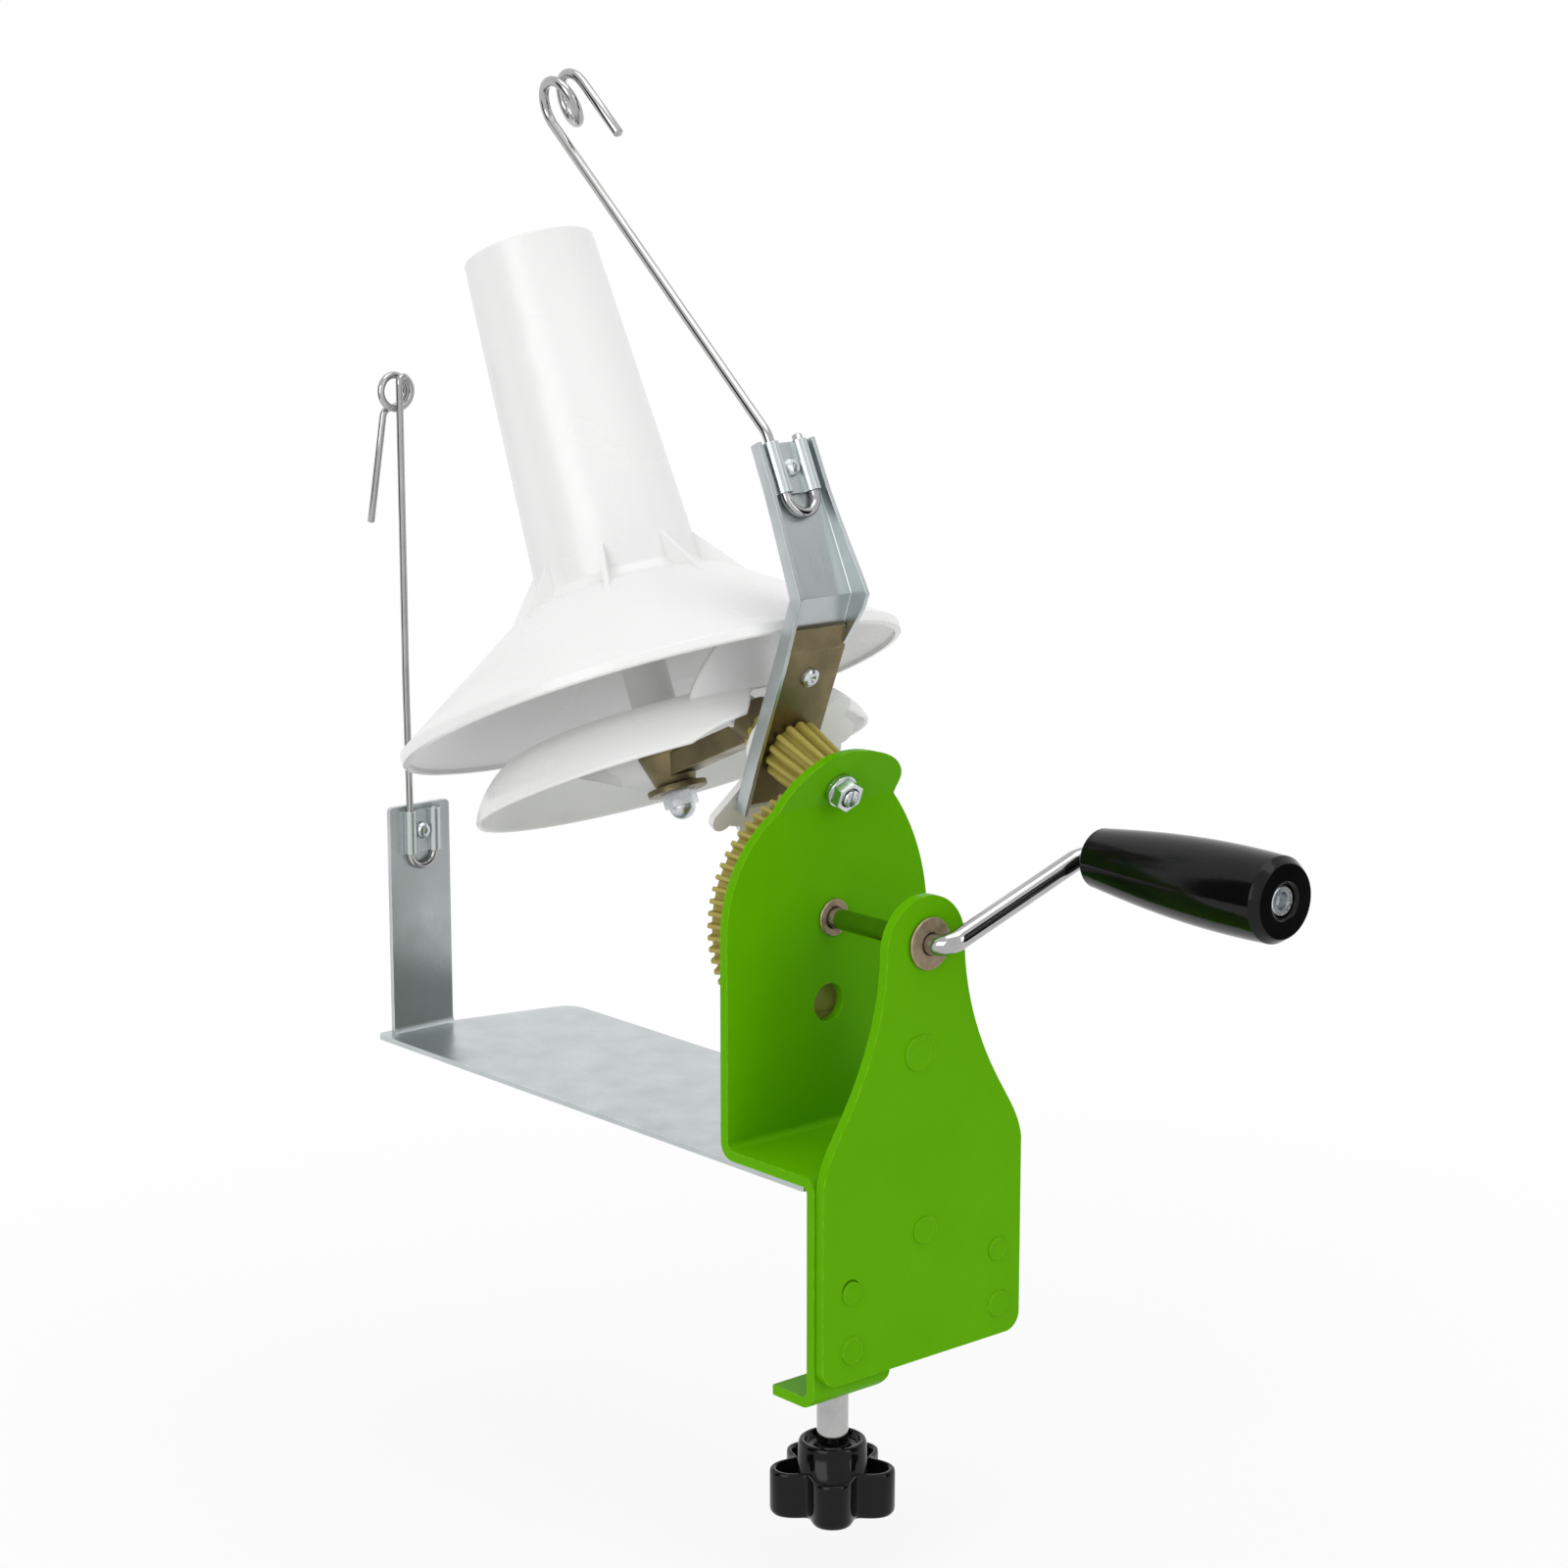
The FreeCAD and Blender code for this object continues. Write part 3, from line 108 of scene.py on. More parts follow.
def white_for_viewer(tree, soft_shader, white_share):
    """Mix a lit shader with plain white, for rays that come from the camera, a mirror or a lens."""
    path = tree.nodes.new("ShaderNodeLightPath")
    seen = tree.nodes.new("ShaderNodeMath")
    seen.operation = "MAXIMUM"
    tree.links.new(path.outputs["Is Camera Ray"], seen.inputs[0])
    tree.links.new(path.outputs["Is Glossy Ray"], seen.inputs[1])
    all_seen = tree.nodes.new("ShaderNodeMath")
    all_seen.operation = "MAXIMUM"
    tree.links.new(seen.outputs[0], all_seen.inputs[0])
    tree.links.new(path.outputs["Is Transmission Ray"], all_seen.inputs[1])
    share = tree.nodes.new("ShaderNodeMath")
    share.operation = "MULTIPLY"
    if isinstance(white_share, float):
        share.inputs[1].default_value = white_share
    else:
        tree.links.new(white_share, share.inputs[1])
    tree.links.new(all_seen.outputs[0], share.inputs[0])
    mix = tree.nodes.new("ShaderNodeMixShader")
    tree.links.new(share.outputs[0], mix.inputs[0])
    tree.links.new(soft_shader, mix.inputs[1])
    return mix


FILL_LEVEL = 0.62
fill = tree.nodes.new("ShaderNodeBackground")
fill.inputs["Color"].default_value = (1.0, 1.0, 1.0, 1.0)
fill.inputs["Strength"].default_value = FILL_LEVEL
backdrop = tree.nodes.new("ShaderNodeBackground")
backdrop.inputs["Color"].default_value = (1.0, 1.0, 1.0, 1.0)
backdrop.inputs["Strength"].default_value = 1.0
mix = white_for_viewer(tree, fill.outputs[0], 1.0)
tree.links.new(backdrop.outputs[0], mix.inputs[2])
world_out = tree.nodes.new("ShaderNodeOutputWorld")
tree.links.new(mix.outputs[0], world_out.inputs["Surface"])
print("world fills the shadows at", FILL_LEVEL)

# %% White floor
FLOOR_HALF = 20.0
FLOOR_GREY = 0.86
# From here to there, in metres from the middle, the floor goes over into the white backdrop.
FADE_FROM, FADE_TO = 0.25, 0.75
# The clamp's knob comes 24 mm lower when its screw is wound out, and stays above the floor then.
CLAMP_DROP = 0.024
floor_mesh = bpy.data.meshes.new("floor")
floor_z = cad_low.z - CLAMP_DROP - 0.0005
floor_mesh.from_pydata([(-FLOOR_HALF, -FLOOR_HALF, floor_z), (FLOOR_HALF, -FLOOR_HALF, floor_z),
                        (FLOOR_HALF, FLOOR_HALF, floor_z), (-FLOOR_HALF, FLOOR_HALF, floor_z)],
                       [], [(0, 1, 2, 3)])
floor = bpy.data.objects.new("floor", floor_mesh)
scene.collection.objects.link(floor)
floor_paint = bpy.data.materials.new("white_floor")
floor_paint.use_nodes = True
tree = floor_paint.node_tree
tree.nodes.clear()
matt = tree.nodes.new("ShaderNodeBsdfDiffuse")
matt.inputs["Color"].default_value = (FLOOR_GREY, FLOOR_GREY, FLOOR_GREY, 1.0)
glow = tree.nodes.new("ShaderNodeEmission")
glow.inputs["Color"].default_value = (1.0, 1.0, 1.0, 1.0)
glow.inputs["Strength"].default_value = 1.0
floor_place = tree.nodes.new("ShaderNodeTexCoord").outputs["Object"]
far_off = tree.nodes.new("ShaderNodeVectorMath")
far_off.operation = "LENGTH"
tree.links.new(floor_place, far_off.inputs[0])
fade = tree.nodes.new("ShaderNodeMapRange")
fade.inputs["From Min"].default_value = FADE_FROM
fade.inputs["From Max"].default_value = FADE_TO
fade.inputs["To Min"].default_value = FLOOR_GREY
fade.inputs["To Max"].default_value = 1.0
tree.links.new(far_off.outputs["Value"], fade.inputs["Value"])
mix = white_for_viewer(tree, matt.outputs[0], fade.outputs[0])
tree.links.new(glow.outputs[0], mix.inputs[2])
floor_out = tree.nodes.new("ShaderNodeOutputMaterial")
tree.links.new(mix.outputs[0], floor_out.inputs["Surface"])
floor_mesh.materials.append(floor_paint)
print("floor at", round(floor_z / MM, 1), "mm")

# %% Dark flags
flag_paint = bpy.data.materials.new("black_flag")
flag_paint.use_nodes = True
flag_paint.node_tree.nodes.clear()
flag_dark = flag_paint.node_tree.nodes.new("ShaderNodeEmission")
flag_dark.inputs["Color"].default_value = (0.01, 0.01, 0.01, 1.0)
flag_out = flag_paint.node_tree.nodes.new("ShaderNodeOutputMaterial")
flag_paint.node_tree.links.new(flag_dark.outputs[0], flag_out.inputs["Surface"])


def dark_flag(name, place, turn, wide, tall):
    """A standing black board, which only shiny pieces see."""
    across = Vector((math.cos(turn), math.sin(turn), 0.0)) * (wide / 2)
    up = Vector((0.0, 0.0, tall / 2))
    middle = Vector(place)
    board = bpy.data.meshes.new(name)
    board.from_pydata([middle - across - up, middle + across - up, middle + across + up,
                       middle - across + up], [], [(0, 1, 2, 3)])
    board.materials.append(flag_paint)
    flag = bpy.data.objects.new(name, board)
    scene.collection.objects.link(flag)
    flag.visible_camera = False
    flag.visible_diffuse = False
    flag.visible_shadow = False
    flag.visible_transmission = False
    print(name, "stands at", [round(v, 2) for v in middle])


ACROSS_VIEW = Vector((0.659, 0.752, 0.0))
TO_VIEWER = Vector((0.752, -0.659, 0.0))
FLAG_TURN = math.atan2(TO_VIEWER.y, TO_VIEWER.x)
FLAGS_MIDDLE = TO_VIEWER * 0.25 + Vector((0, 0, 0.15))
for flag_name, aside in (("left_flag", -0.9), ("right_flag", 0.9)):
    dark_flag(flag_name, ACROSS_VIEW * aside + FLAGS_MIDDLE, FLAG_TURN, 0.5, 1.4)

# %% Soft panels
def soft_panel(name, place, aim, size, power):
    """An area light of this width and height in metres, turned to face a point."""
    lamp = bpy.data.lights.new(name, "AREA")
    lamp.shape = "RECTANGLE"
    lamp.size, lamp.size_y = size
    lamp.energy = power
    panel = bpy.data.objects.new(name, lamp)
    panel.location = place
    panel.rotation_euler = (Vector(aim) - Vector(place)).to_track_quat("-Z", "Y").to_euler()
    scene.collection.objects.link(panel)
    print(name, "gives", power, "W")


AIM = (0.0, 0.0, 0.12)
soft_panel("left_panel", (0.5, -1.9, 0.9), AIM, (1.1, 1.4), 11.5)
soft_panel("right_panel", (1.9, 0.6, 0.9), AIM, (0.7, 1.2), 6.0)
soft_panel("top_panel", (0.1, 0.1, 1.9), AIM, (1.3, 1.3), 9.0)

# %% [markdown]
# ## Shared surface effects
# Real surfaces are never one flat colour. These node groups are small reusable effects: cloudy
# tone, fine grain, brushed lines, and worn edges whose lighter tone is also a painted highlight.
# Each material places them with its own values, and they only put out colours, masks and heights.

# %% Node group helpers
def new_group(name, inputs, outputs):
    """A node group: inputs are (name, kind, default), outputs are (name, kind)."""
    group = bpy.data.node_groups.new(name, "ShaderNodeTree")
    for label, kind, value in inputs:
        socket = group.interface.new_socket(name=label, in_out="INPUT",
                                            socket_type="NodeSocket" + kind)
        socket.default_value = value
    for label, kind in outputs:
        group.interface.new_socket(name=label, in_out="OUTPUT", socket_type="NodeSocket" + kind)
    return group, group.nodes.new("NodeGroupInput"), group.nodes.new("NodeGroupOutput")


def math_node(tree, operation, first, second, clamp=False):
    """A Math node: each value is a socket or a plain number."""
    node = tree.nodes.new("ShaderNodeMath")
    node.operation = operation
    node.use_clamp = clamp
    for index, value in enumerate((first, second)):
        if isinstance(value, (int, float)):
            node.inputs[index].default_value = value
        else:
            tree.links.new(value, node.inputs[index])
    return node.outputs[0]


def noise_node(tree, vector, scale, detail, roughness):
    """A Noise Texture: the scale is a socket or a plain number."""
    node = tree.nodes.new("ShaderNodeTexNoise")
    node.inputs["Detail"].default_value = detail
    node.inputs["Roughness"].default_value = roughness
    tree.links.new(vector, node.inputs["Vector"])
    if isinstance(scale, (int, float)):
        node.inputs["Scale"].default_value = scale
    else:
        tree.links.new(scale, node.inputs["Scale"])
    return node.outputs["Fac"]


def mixed_colour(tree, share, first, second):
    """A colour Mix node, from first to second by share."""
    node = tree.nodes.new("ShaderNodeMix")
    node.data_type = "RGBA"
    tree.links.new(share, node.inputs[0])
    tree.links.new(first, node.inputs[6])
    tree.links.new(second, node.inputs[7])
    return node.outputs[2]


# %% Cloudy tone
CLOUDS, inside, outside = new_group(
    "cloudy_tone",
    [("Tone A", "Color", (0.8, 0.8, 0.8, 1)), ("Tone B", "Color", (0.6, 0.6, 0.6, 1)),
     ("Scale", "Float", 40.0)],
    [("Color", "Color"), ("Mask", "Float")])
place = CLOUDS.nodes.new("ShaderNodeTexCoord").outputs["Object"]
blotch = noise_node(CLOUDS, place, inside.outputs["Scale"], 4.0, 0.6)
spread = CLOUDS.nodes.new("ShaderNodeMapRange")
spread.inputs["From Min"].default_value = 0.32
spread.inputs["From Max"].default_value = 0.68
CLOUDS.links.new(blotch, spread.inputs["Value"])
CLOUDS.links.new(mixed_colour(CLOUDS, spread.outputs[0], inside.outputs["Tone A"],
                              inside.outputs["Tone B"]), outside.inputs["Color"])
CLOUDS.links.new(spread.outputs[0], outside.inputs["Mask"])

# %% Fine grain
GRAIN, inside, outside = new_group("fine_grain", [("Scale", "Float", 900.0)], [("Height", "Float")])
place = GRAIN.nodes.new("ShaderNodeTexCoord").outputs["Object"]
GRAIN.links.new(noise_node(GRAIN, place, inside.outputs["Scale"], 2.0, 0.55),
                outside.inputs["Height"])

# %% Brushed lines
BRUSHED, inside, outside = new_group(
    "brushed_lines", [("Scale", "Float", 60.0), ("Stretch", "Vector", (1.0, 1.0, 20.0))],
    [("Height", "Float")])
place = BRUSHED.nodes.new("ShaderNodeTexCoord").outputs["Object"]
stretch = BRUSHED.nodes.new("ShaderNodeVectorMath")
stretch.operation = "MULTIPLY"
BRUSHED.links.new(place, stretch.inputs[0])
BRUSHED.links.new(inside.outputs["Stretch"], stretch.inputs[1])
BRUSHED.links.new(noise_node(BRUSHED, stretch.outputs[0], inside.outputs["Scale"], 3.0, 0.6),
                  outside.inputs["Height"])

# %% Worn edges with a painted highlight
EDGE_WEAR_AND_HIGHLIGHT, inside, outside = new_group(
    "worn_and_highlit_edges", [("Radius", "Float", 0.0008), ("Breakup", "Float", 250.0)], [("Mask", "Float")])
# Convex edges found by the Bevel node get a lighter tone: a painted highlight along every edge, broken up by noise
# like wear.
soft_normal = EDGE_WEAR_AND_HIGHLIGHT.nodes.new("ShaderNodeBevel")
soft_normal.samples = 4
EDGE_WEAR_AND_HIGHLIGHT.links.new(inside.outputs["Radius"], soft_normal.inputs["Radius"])
true_normal = EDGE_WEAR_AND_HIGHLIGHT.nodes.new("ShaderNodeNewGeometry").outputs["Normal"]
agree = EDGE_WEAR_AND_HIGHLIGHT.nodes.new("ShaderNodeVectorMath")
agree.operation = "DOT_PRODUCT"
EDGE_WEAR_AND_HIGHLIGHT.links.new(soft_normal.outputs[0], agree.inputs[0])
EDGE_WEAR_AND_HIGHLIGHT.links.new(true_normal, agree.inputs[1])
turned = math_node(EDGE_WEAR_AND_HIGHLIGHT, "SUBTRACT", 1.0, agree.outputs["Value"])
edge = math_node(EDGE_WEAR_AND_HIGHLIGHT, "MULTIPLY", turned, 5.0, True)
place = EDGE_WEAR_AND_HIGHLIGHT.nodes.new("ShaderNodeTexCoord").outputs["Object"]
patch = noise_node(EDGE_WEAR_AND_HIGHLIGHT, place, inside.outputs["Breakup"], 3.0, 0.7)
patchy = math_node(EDGE_WEAR_AND_HIGHLIGHT, "MULTIPLY", math_node(EDGE_WEAR_AND_HIGHLIGHT, "SUBTRACT", patch, 0.38), 4.0, True)
EDGE_WEAR_AND_HIGHLIGHT.links.new(math_node(EDGE_WEAR_AND_HIGHLIGHT, "MULTIPLY", edge, patchy, True), outside.inputs["Mask"])
print("effects:", ", ".join(group.name for group in (CLOUDS, GRAIN, BRUSHED, EDGE_WEAR_AND_HIGHLIGHT)))

# %% [markdown]
# ## Finishes
# One material for each finish of the real object. A maker function sets up the shader and
# the effects that all of them share, and each finish then names only its own colours and amounts.

# %% Finish maker
def placed_group(tree, group, **values):
    """A node that places a group, with its sockets set by their names."""
    node = tree.nodes.new("ShaderNodeGroup")
    node.node_tree = group
    for label, value in values.items():
        node.inputs[label.replace("_", " ")].default_value = value
    return node


def rgba(colour):
    return (colour[0], colour[1], colour[2], 1.0)


def finish(name, tone_a, tone_b, tone_scale, rough, rough_swing, grain_scale, grain_depth,
           metallic=0.0, wear_and_highlight_tone=None, edge_radius=0.0008, stretch=None, brush_share=0.0,
           specular=0.5):
    """A finish: cloudy base colour, roughness that swings with it, fine bump, and worn edges painted lighter as a
    highlight.
    """
    material = bpy.data.materials.new(name)
    material.use_nodes = True
    tree = material.node_tree
    shader = tree.nodes["Principled BSDF"]
    shader.inputs["Metallic"].default_value = metallic
    shader.inputs["Specular IOR Level"].default_value = specular
    clouds = placed_group(tree, CLOUDS, Tone_A=rgba(tone_a), Tone_B=rgba(tone_b), Scale=tone_scale)
    colour = clouds.outputs["Color"]
    roughness = math_node(tree, "MULTIPLY_ADD", clouds.outputs["Mask"], rough_swing)
    roughness.node.inputs[2].default_value = rough
    height = placed_group(tree, GRAIN, Scale=grain_scale).outputs["Height"]
    if stretch is not None:
        lines = placed_group(tree, BRUSHED, Scale=60.0, Stretch=stretch).outputs["Height"]
        swing = math_node(tree, "MULTIPLY", math_node(tree, "SUBTRACT", lines, 0.5), brush_share)
        roughness = math_node(tree, "ADD", roughness, swing, True)
        height = math_node(tree, "ADD", height, lines)
    # Edges take the lighter wear-and-highlight tone: a painted highlight on every convex edge, broken up like
    # wear.
    if wear_and_highlight_tone is not None:
        edges = placed_group(tree, EDGE_WEAR_AND_HIGHLIGHT, Radius=edge_radius).outputs["Mask"]
        edge_colour = tree.nodes.new("ShaderNodeRGB")
        edge_colour.outputs[0].default_value = rgba(wear_and_highlight_tone)
        colour = mixed_colour(tree, edges, colour, edge_colour.outputs[0])
    tree.links.new(colour, shader.inputs["Base Color"])
    tree.links.new(roughness, shader.inputs["Roughness"])
    bump = tree.nodes.new("ShaderNodeBump")
    bump.inputs["Strength"].default_value = 1.0
    bump.inputs["Distance"].default_value = grain_depth
    tree.links.new(height, bump.inputs["Height"])
    tree.links.new(bump.outputs["Normal"], shader.inputs["Normal"])
    return material


# %% The finishes
# Finishes with a wear-and-highlight tone get lighter edges: a painted highlight, broken up like wear.
FINISHES = {
    "green_paint": finish(
        "green_paint", (0.12, 0.425, 0.0003), (0.112, 0.405, 0.0003), 28.0, 0.26, 0.06,
        grain_scale=520.0, grain_depth=0.00002, wear_and_highlight_tone=(0.27, 0.60, 0.02), specular=0.035),
    "zinc_plate": finish(
        "zinc_plate", (0.56, 0.6, 0.6), (0.51, 0.555, 0.56), 55.0, 0.28, 0.08, metallic=1.0,
        grain_scale=1500.0, grain_depth=0.000012, wear_and_highlight_tone=(0.75, 0.79, 0.8),
        stretch=(1.0, 18.0, 1.0), brush_share=0.16),
    "zinc_fastener": finish(
        "zinc_fastener", (0.66, 0.69, 0.71), (0.52, 0.55, 0.57), 160.0, 0.2, 0.15, metallic=1.0,
        grain_scale=1800.0, grain_depth=0.00001),
    "polished_steel": finish(
        "polished_steel", (0.46, 0.46, 0.455), (0.38, 0.38, 0.38), 90.0, 0.08, 0.05, metallic=1.0,
        grain_scale=2500.0, grain_depth=0.000004),
    "dark_steel": finish(
        "dark_steel", (0.235, 0.19, 0.098), (0.16, 0.13, 0.07), 60.0, 0.3, 0.16, metallic=0.9,
        grain_scale=1300.0, grain_depth=0.000015, wear_and_highlight_tone=(0.42, 0.37, 0.26)),
    "bronze": finish(
        "bronze", (0.42, 0.33, 0.23), (0.3, 0.23, 0.15), 260.0, 0.34, 0.14, metallic=0.9,
        grain_scale=3000.0, grain_depth=0.00002),
    "tan_nylon": finish(
        "tan_nylon", (0.46, 0.39, 0.09), (0.39, 0.325, 0.07), 45.0, 0.34, 0.12,
        grain_scale=900.0, grain_depth=0.00003, wear_and_highlight_tone=(0.66, 0.57, 0.28),
        edge_radius=0.0005, specular=0.35),
    "white_plastic": finish(
        "white_plastic", (0.885, 0.885, 0.88), (0.87, 0.87, 0.865), 9.0, 0.26, 0.03,
        grain_scale=350.0, grain_depth=0.000004),
    "black_plastic": finish(
        "black_plastic", (0.003, 0.003, 0.003), (0.005, 0.005, 0.005), 30.0, 0.1, 0.05,
        grain_scale=420.0, grain_depth=0.00001, specular=0.2),
}
print("finishes:", ", ".join(FINISHES))

# %% [markdown]
# ## Dress the CAD pieces
# The CAD pieces that already have the right shape keep it. A weld joins the split corners of the
# imported facets, a small bevel rounds every sharp edge as on real sheet metal and mouldings, and
# weighted normals keep the flat faces flat.

# %% Dress a node
SLOT_OF = {row["node"]: row["material_slot"] for row in frame["record"]["subparts"]}


def edge_softening(piece, round_mm, angle=28.0):
    """Weld split corners, then round the sharp edges."""
    for polygon in piece.data.polygons:
        polygon.use_smooth = True
    weld = piece.modifiers.new("weld", "WELD")
    weld.merge_threshold = 0.00001
    bevel = piece.modifiers.new("round_edges", "BEVEL")
    bevel.width = round_mm * MM
    bevel.segments = 2
    bevel.limit_method = "ANGLE"
    bevel.angle_limit = math.radians(angle)
    bevel.harden_normals = False
    normals = piece.modifiers.new("flat_faces", "WEIGHTED_NORMAL")
    normals.keep_sharp = True
    normals.weight = 100


EDGE_MM = {"rear_bracket": 0.7, "front_plate": 0.7, "drive_gear": 0.22, "flyer_pinion": 0.16,
           "base_plate": 0.4, "flyer_arm": 0.35}
for name, node in NODES.items():
    node.data.materials.clear()
    node.data.materials.append(FINISHES[SLOT_OF[name]])
    if node.data.has_custom_normals:
        bpy.context.view_layer.objects.active = node
        bpy.ops.mesh.customdata_custom_splitnormals_clear()
    edge_softening(node, EDGE_MM.get(name, 0.25))
print("dressed", len(NODES), "CAD pieces")

# %% [markdown]
# ## Pieces that this file makes itself
# Moulded, bent and wound pieces get their own meshes, which stand where their CAD nodes are.
# Lengths are in millimetres here, in the frame's own axes. Two tilted axes come back again and
# again, the flyer's and the cone's, so a point is given by its distances along and from them.

# %% Shared places
TILT = math.radians(22.0)
BACK = Vector((-math.cos(TILT), 0.0, math.sin(TILT)))
OUT = Vector((math.sin(TILT), 0.0, math.cos(TILT)))
SIDE = Vector((0.0, 1.0, 0.0))
APEX = Vector(JOINTS["flyer_turn"]["pos_m"]) / MM
CONE_TILT = math.radians(24.0)
CONE_UP = Vector((-math.sin(CONE_TILT), 0.0, math.cos(CONE_TILT)))
CONE_FORE = Vector((math.cos(CONE_TILT), 0.0, math.sin(CONE_TILT)))
CONE_FOOT = Vector(JOINTS["cone_spin"]["pos_m"]) / MM


def on_flyer(out, side, distance):
    """A point by its height over the flyer's axis, its side, and its distance behind the apex."""
    return APEX + BACK * distance + OUT * out + SIDE * side


def on_cone(rad, turn, high):
    """A point round the cone's axis: turn is in degrees from the front, towards +Y."""
    angle = math.radians(turn)
    return (CONE_FOOT + CONE_FORE * (rad * math.cos(angle)) + SIDE * (rad * math.sin(angle))
            + CONE_UP * high)


# %% [markdown]
# A piece is a list of points and faces. Most are skins drawn over a row of closed loops, as a hull
# over its ribs, and plates are flat outlines with holes that get a thickness. Both are plain mesh
# code, so every measure stays a number that can be changed. Close points are welded, and the piece
# gets its slot, the body that carries it and the CAD nodes that it stands for.

# %% Piece maker
def new_piece(name, parts, slot, body, nodes, round_mm=0.25, angle=28.0):
    """One object from (points, faces) parts, in the slot's finish, in place of its nodes."""
    points, faces = [], []
    for part_points, part_faces in parts:
        start = len(points)
        points += [Vector(p) * MM for p in part_points]
        faces += [[start + i for i in face] for face in part_faces]
    mesh = bpy.data.meshes.new(name)
    mesh.from_pydata(points, [], faces)
    shell = bmesh.new()
    shell.from_mesh(mesh)
    bmesh.ops.remove_doubles(shell, verts=shell.verts, dist=0.000002)
    bmesh.ops.dissolve_degenerate(shell, edges=shell.edges, dist=0.000002)
    bmesh.ops.recalc_face_normals(shell, faces=shell.faces)
    shell.to_mesh(mesh)
    shell.free()
    piece = bpy.data.objects.new(name, mesh)
    scene.collection.objects.link(piece)
    mesh.materials.append(FINISHES[slot])
    if round_mm:
        edge_softening(piece, round_mm, angle)
    else:
        for polygon in mesh.polygons:
            polygon.use_smooth = True
    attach(piece, body)
    if nodes:
        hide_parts(*nodes)
    print(name, "has", len(mesh.vertices), "points")


def skin(rings, close_rings=False):
    """Faces between closed loops of as many points; the ends are capped, or joined to a ring."""
    count = len(rings[0])
    points = [p for ring in rings for p in ring]
    faces = []
    pairs = list(zip(range(len(rings) - 1), range(1, len(rings))))
    if close_rings:
        pairs.append((len(rings) - 1, 0))
    for a, b in pairs:
        for i in range(count):
            j = (i + 1) % count
            faces.append([a * count + i, a * count + j, b * count + j, b * count + i])
    if not close_rings:
        faces.append([i for i in range(count)][::-1])
        faces.append([(len(rings) - 1) * count + i for i in range(count)])
    return points, faces


def slab(loops, thick, put):
    """A plate with holes, from flat (u, v) loops; put(u, v, w) gives the place of a point."""
    flat = bmesh.new()
    edges = []
    for loop in loops:
        corners = [flat.verts.new((u, v, 0.0)) for u, v in loop]
        edges += [flat.edges.new((corners[i], corners[(i + 1) % len(corners)]))
                  for i in range(len(corners))]
    bmesh.ops.triangle_fill(flat, use_beauty=True, use_dissolve=False, edges=edges)
    flat.verts.index_update()
    points = [put(v.co.x, v.co.y, w) for w in (0.0, thick) for v in flat.verts]
    many = len(flat.verts)
    faces = []
    for face in flat.faces:
        ids = [v.index for v in face.verts]
        faces.append(ids)
        faces.append([i + many for i in reversed(ids)])
    for edge in edges:
        a, b = edge.verts[0].index, edge.verts[1].index
        faces.append([a, b, b + many, a + many])
    flat.free()
    return points, faces


def circle_loop(u, v, rad, count=32):
    return [(u + rad * math.cos(2 * math.pi * i / count),
             v + rad * math.sin(2 * math.pi * i / count)) for i in range(count)]


def smooth_run(points, steps):
    """A Catmull-Rom curve through the points, with this many steps between two of them."""
    ends = [points[0]] + list(points) + [points[-1]]
    result = []
    for i in range(1, len(ends) - 2):
        p0, p1, p2, p3 = ends[i - 1], ends[i], ends[i + 1], ends[i + 2]
        for k in range(steps):
            t = k / steps
            result.append(tuple(
                0.5 * (2 * b + (c - a) * t + (2 * a - 5 * b + 4 * c - d) * t ** 2
                       + (3 * b - 3 * c + d - a) * t ** 3)
                for a, b, c, d in zip(p0, p1, p2, p3)))
    result.append(tuple(points[-1]))
    return result


# %% [markdown]
# ## Guard dish
# The white dish under the cone keeps the yarn away from the gears. On the real winder it is one
# thin moulding: a round dish with a turned-down rim, an arch at the front that lets the pinion
# through, a hood over the arch and a thin rib below. Turning a profile round the axis gives the
# round part, but not the arch, whose edge has to leave room for the flyer. So the dish is drawn as
# 240 spokes, and each one follows the profile only as far as the arch allows.

# %% Guard dish
# The dish's profile: (radius, height over the cone's foot)
DISH_LINE = smooth_run([(14.0, -13.0), (36.0, -13.0), (56.0, -13.1), (65.0, -16.1), (72.2, -22.0),
                        (77.0, -28.3), (79.2, -33.4)], 8)
DISH_HALF_WALL = 0.9
# The arch over the pinion: (degrees from the front, how low the dish reaches there)
NOTCH = [(0.0, -15.4), (3.0, -16.0), (5.0, -16.9), (7.0, -18.2), (9.0, -21.0), (12.0, -25.0),
         (14.0, -28.2), (17.0, -30.8), (20.0, -32.6), (23.0, -34.0), (180.0, -60.0)]
NOTCH_FROM_RAD = 50.0
# The dish stays this far behind the apex, so that the flyer's pinion can turn in front of it.
FLYER_ROOM = 173.6


def notch_low(from_front):
    """How low the dish may reach, this many degrees from its front."""
    for (a, low_a), (b, low_b) in zip(NOTCH, NOTCH[1:]):
        if from_front <= b:
            return low_a + (low_b - low_a) * (from_front - a) / (b - a)


def dish_spot(at):
    """Radius, height and direction of the dish's profile, this many of its points along it."""
    low = min(int(at), len(DISH_LINE) - 2)
    share = at - low
    a, b = DISH_LINE[low], DISH_LINE[low + 1]
    run = Vector((b[0] - a[0], b[1] - a[1])).normalized()
    return a[0] + (b[0] - a[0]) * share, a[1] + (b[1] - a[1]) * share, run


